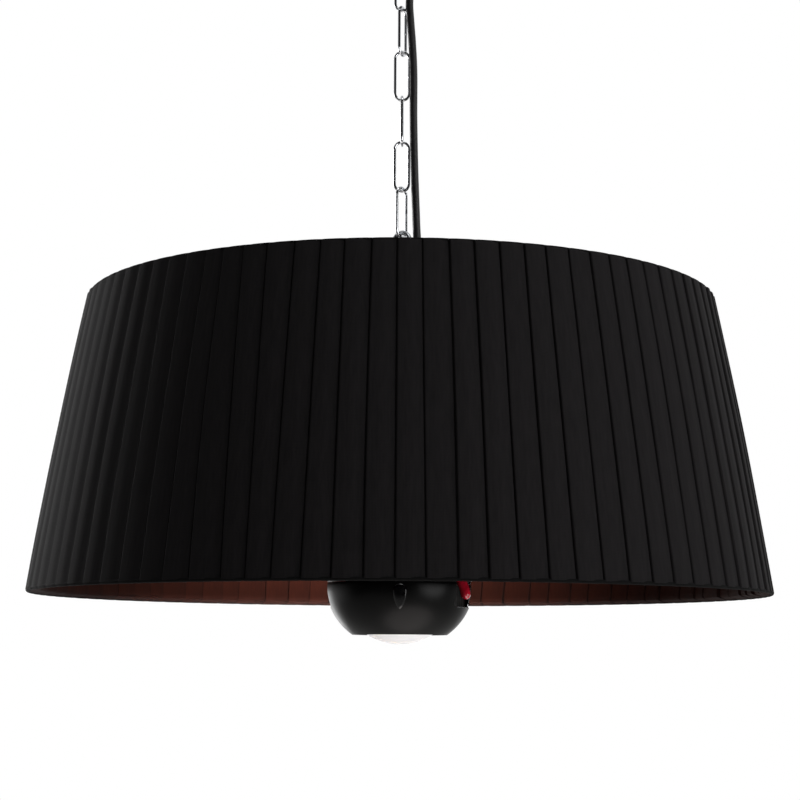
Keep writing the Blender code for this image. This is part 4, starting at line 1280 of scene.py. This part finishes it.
# Soft studio light: a key from the right at the rim's height, a rim light low behind the left and one above
# it, a wide light nearly straight below, a narrow beam from below at the lining's far side, and a top light
studio = {
    "key": {"place": (1.95, -1.47, 0.06), "size": 1.9, "power": 38},
    "rim": {"place": (-1.10, 1.95, -0.30), "size": 1.1, "power": 8},
    "left": {"place": (-1.80, 1.22, 0.60), "size": 1.0, "power": 21},
    "low": {"place": (0.32, -0.50, -1.56), "size": 1.8, "power": 18, "tint": "#fff6f3"},
    "beam": {"place": (-0.05, -0.30, -1.46), "size": 0.10, "power": 2.3, "tint": "#ffdcd2",
             "aim": (-0.05, 0.30, 0.02), "spread": 20},
    "top": {"place": (0.40, -0.60, 1.90), "size": 1.2, "power": 12},
    "world": 0.15,
    "nearShine": 0.03,
    "shineStart": -0.25,
    "shineEnd": 0.35,
    "backdrop": "#ffffff",
    "floorHalf": 6.0,
    "floorDrop": 2.0,
    "floorGlow": 0.9,
    "floorShine": 0.3,
}


def makeLight(name, place, size, power, tint="#ffffff", aim=(0, 0, 0.10), spread=180):
    data = bpy.data.lights.new(name, "AREA")
    data.shape = "DISK"
    data.size = size
    data.energy = power
    data.color = hexColour(tint)[:3]
    data.spread = math.radians(spread)
    rim = Vector((0, 0, rimZ))
    spot = rim + Vector(place)
    way = rim + Vector(aim) - spot
    look = way.to_track_quat("-Z", "Y").to_matrix().to_4x4()
    addObject(name, data).matrix_world = Matrix.Translation(spot) @ look


def seenRays(tree):  # 1 for what the camera sees directly or through glass, and 1 for what a reflection sees
    rays = addNode(tree, "LightPath").outputs
    links = {0: rays["Is Camera Ray"], 1: rays["Is Transmission Ray"]}
    return addNode(tree, "Math", {"operation": "MAXIMUM"}, links).outputs[0], rays["Is Glossy Ray"]


def makeWorld():
    # The camera and glass see plain white. Polished surfaces see white behind the heater and a dark room on
    # the camera's side. All else is lit by an even grey.
    world = bpy.data.worlds.new("studioWorld")
    bpy.context.scene.world = world
    world.use_nodes = True
    tree = world.node_tree
    way = addNode(tree, "TexCoord").outputs["Generated"]
    depth = addNode(tree, "SeparateXYZ", None, {0: way}).outputs["Y"]
    spread = {"From Min": studio["shineStart"], "From Max": studio["shineEnd"], "To Min": studio["nearShine"],
              "To Max": 1.0, "interpolation_type": "SMOOTHSTEP"}
    far = addNode(tree, "MapRange", spread, {"Value": depth}).outputs["Result"]
    direct, glossy = seenRays(tree)
    lit = addNode(tree, "Mix", {2: studio["world"]}, {0: glossy, 3: far}).outputs[0]
    background = tree.nodes["Background"]
    background.inputs["Color"].default_value = hexColour(studio["backdrop"])
    feed(background, Strength=addNode(tree, "Mix", {3: 1.0}, {0: direct, 2: lit}).outputs[0])


def makeFloor():
    # A plain pale floor well below, slightly rough, wide enough to fill the view from above. To the camera and
    # in reflections it is lighter than the lamps alone would make it.
    made, shader, tree = newMaterial("paintedStudioFloor", "#f4f3f1", Roughness=0.9, Specular_IOR_Level=0.1)
    rolled = addNoise(tree, 30.0, 4.0)
    paint = addRamp(tree, rolled, "#f2f1ef", "#f7f6f4")
    addBump(shader, rolled, 0.05, 0.001)
    direct, glossy = seenRays(tree)
    seen = addNode(tree, "Math", {"operation": "MULTIPLY", 1: studio["floorGlow"]}, {0: direct}).outputs[0]
    shine = {"operation": "MULTIPLY_ADD", 1: studio["floorShine"]}
    glow = addNode(tree, "Math", shine, {0: glossy, 2: seen}).outputs[0]
    feed(shader, Base_Color=paint, Emission_Color=paint, Emission_Strength=glow)
    half, level = studio["floorHalf"], rimZ - studio["floorDrop"]
    mesh = bpy.data.meshes.new("studioFloor")
    corners = [(-half, -half, level), (half, -half, level), (half, half, level), (-half, half, level)]
    mesh.from_pydata(corners, [], [(0, 1, 2, 3)])
    mesh.materials.append(made)
    addObject("studioFloor", mesh)


for word in ("key", "rim", "left", "low", "beam", "top"):
    makeLight(word + "Light", **studio[word])
makeWorld()
makeFloor()
bpy.context.scene.view_settings.view_transform = "Standard"
print("studio made")

bpy.context.view_layer.update()
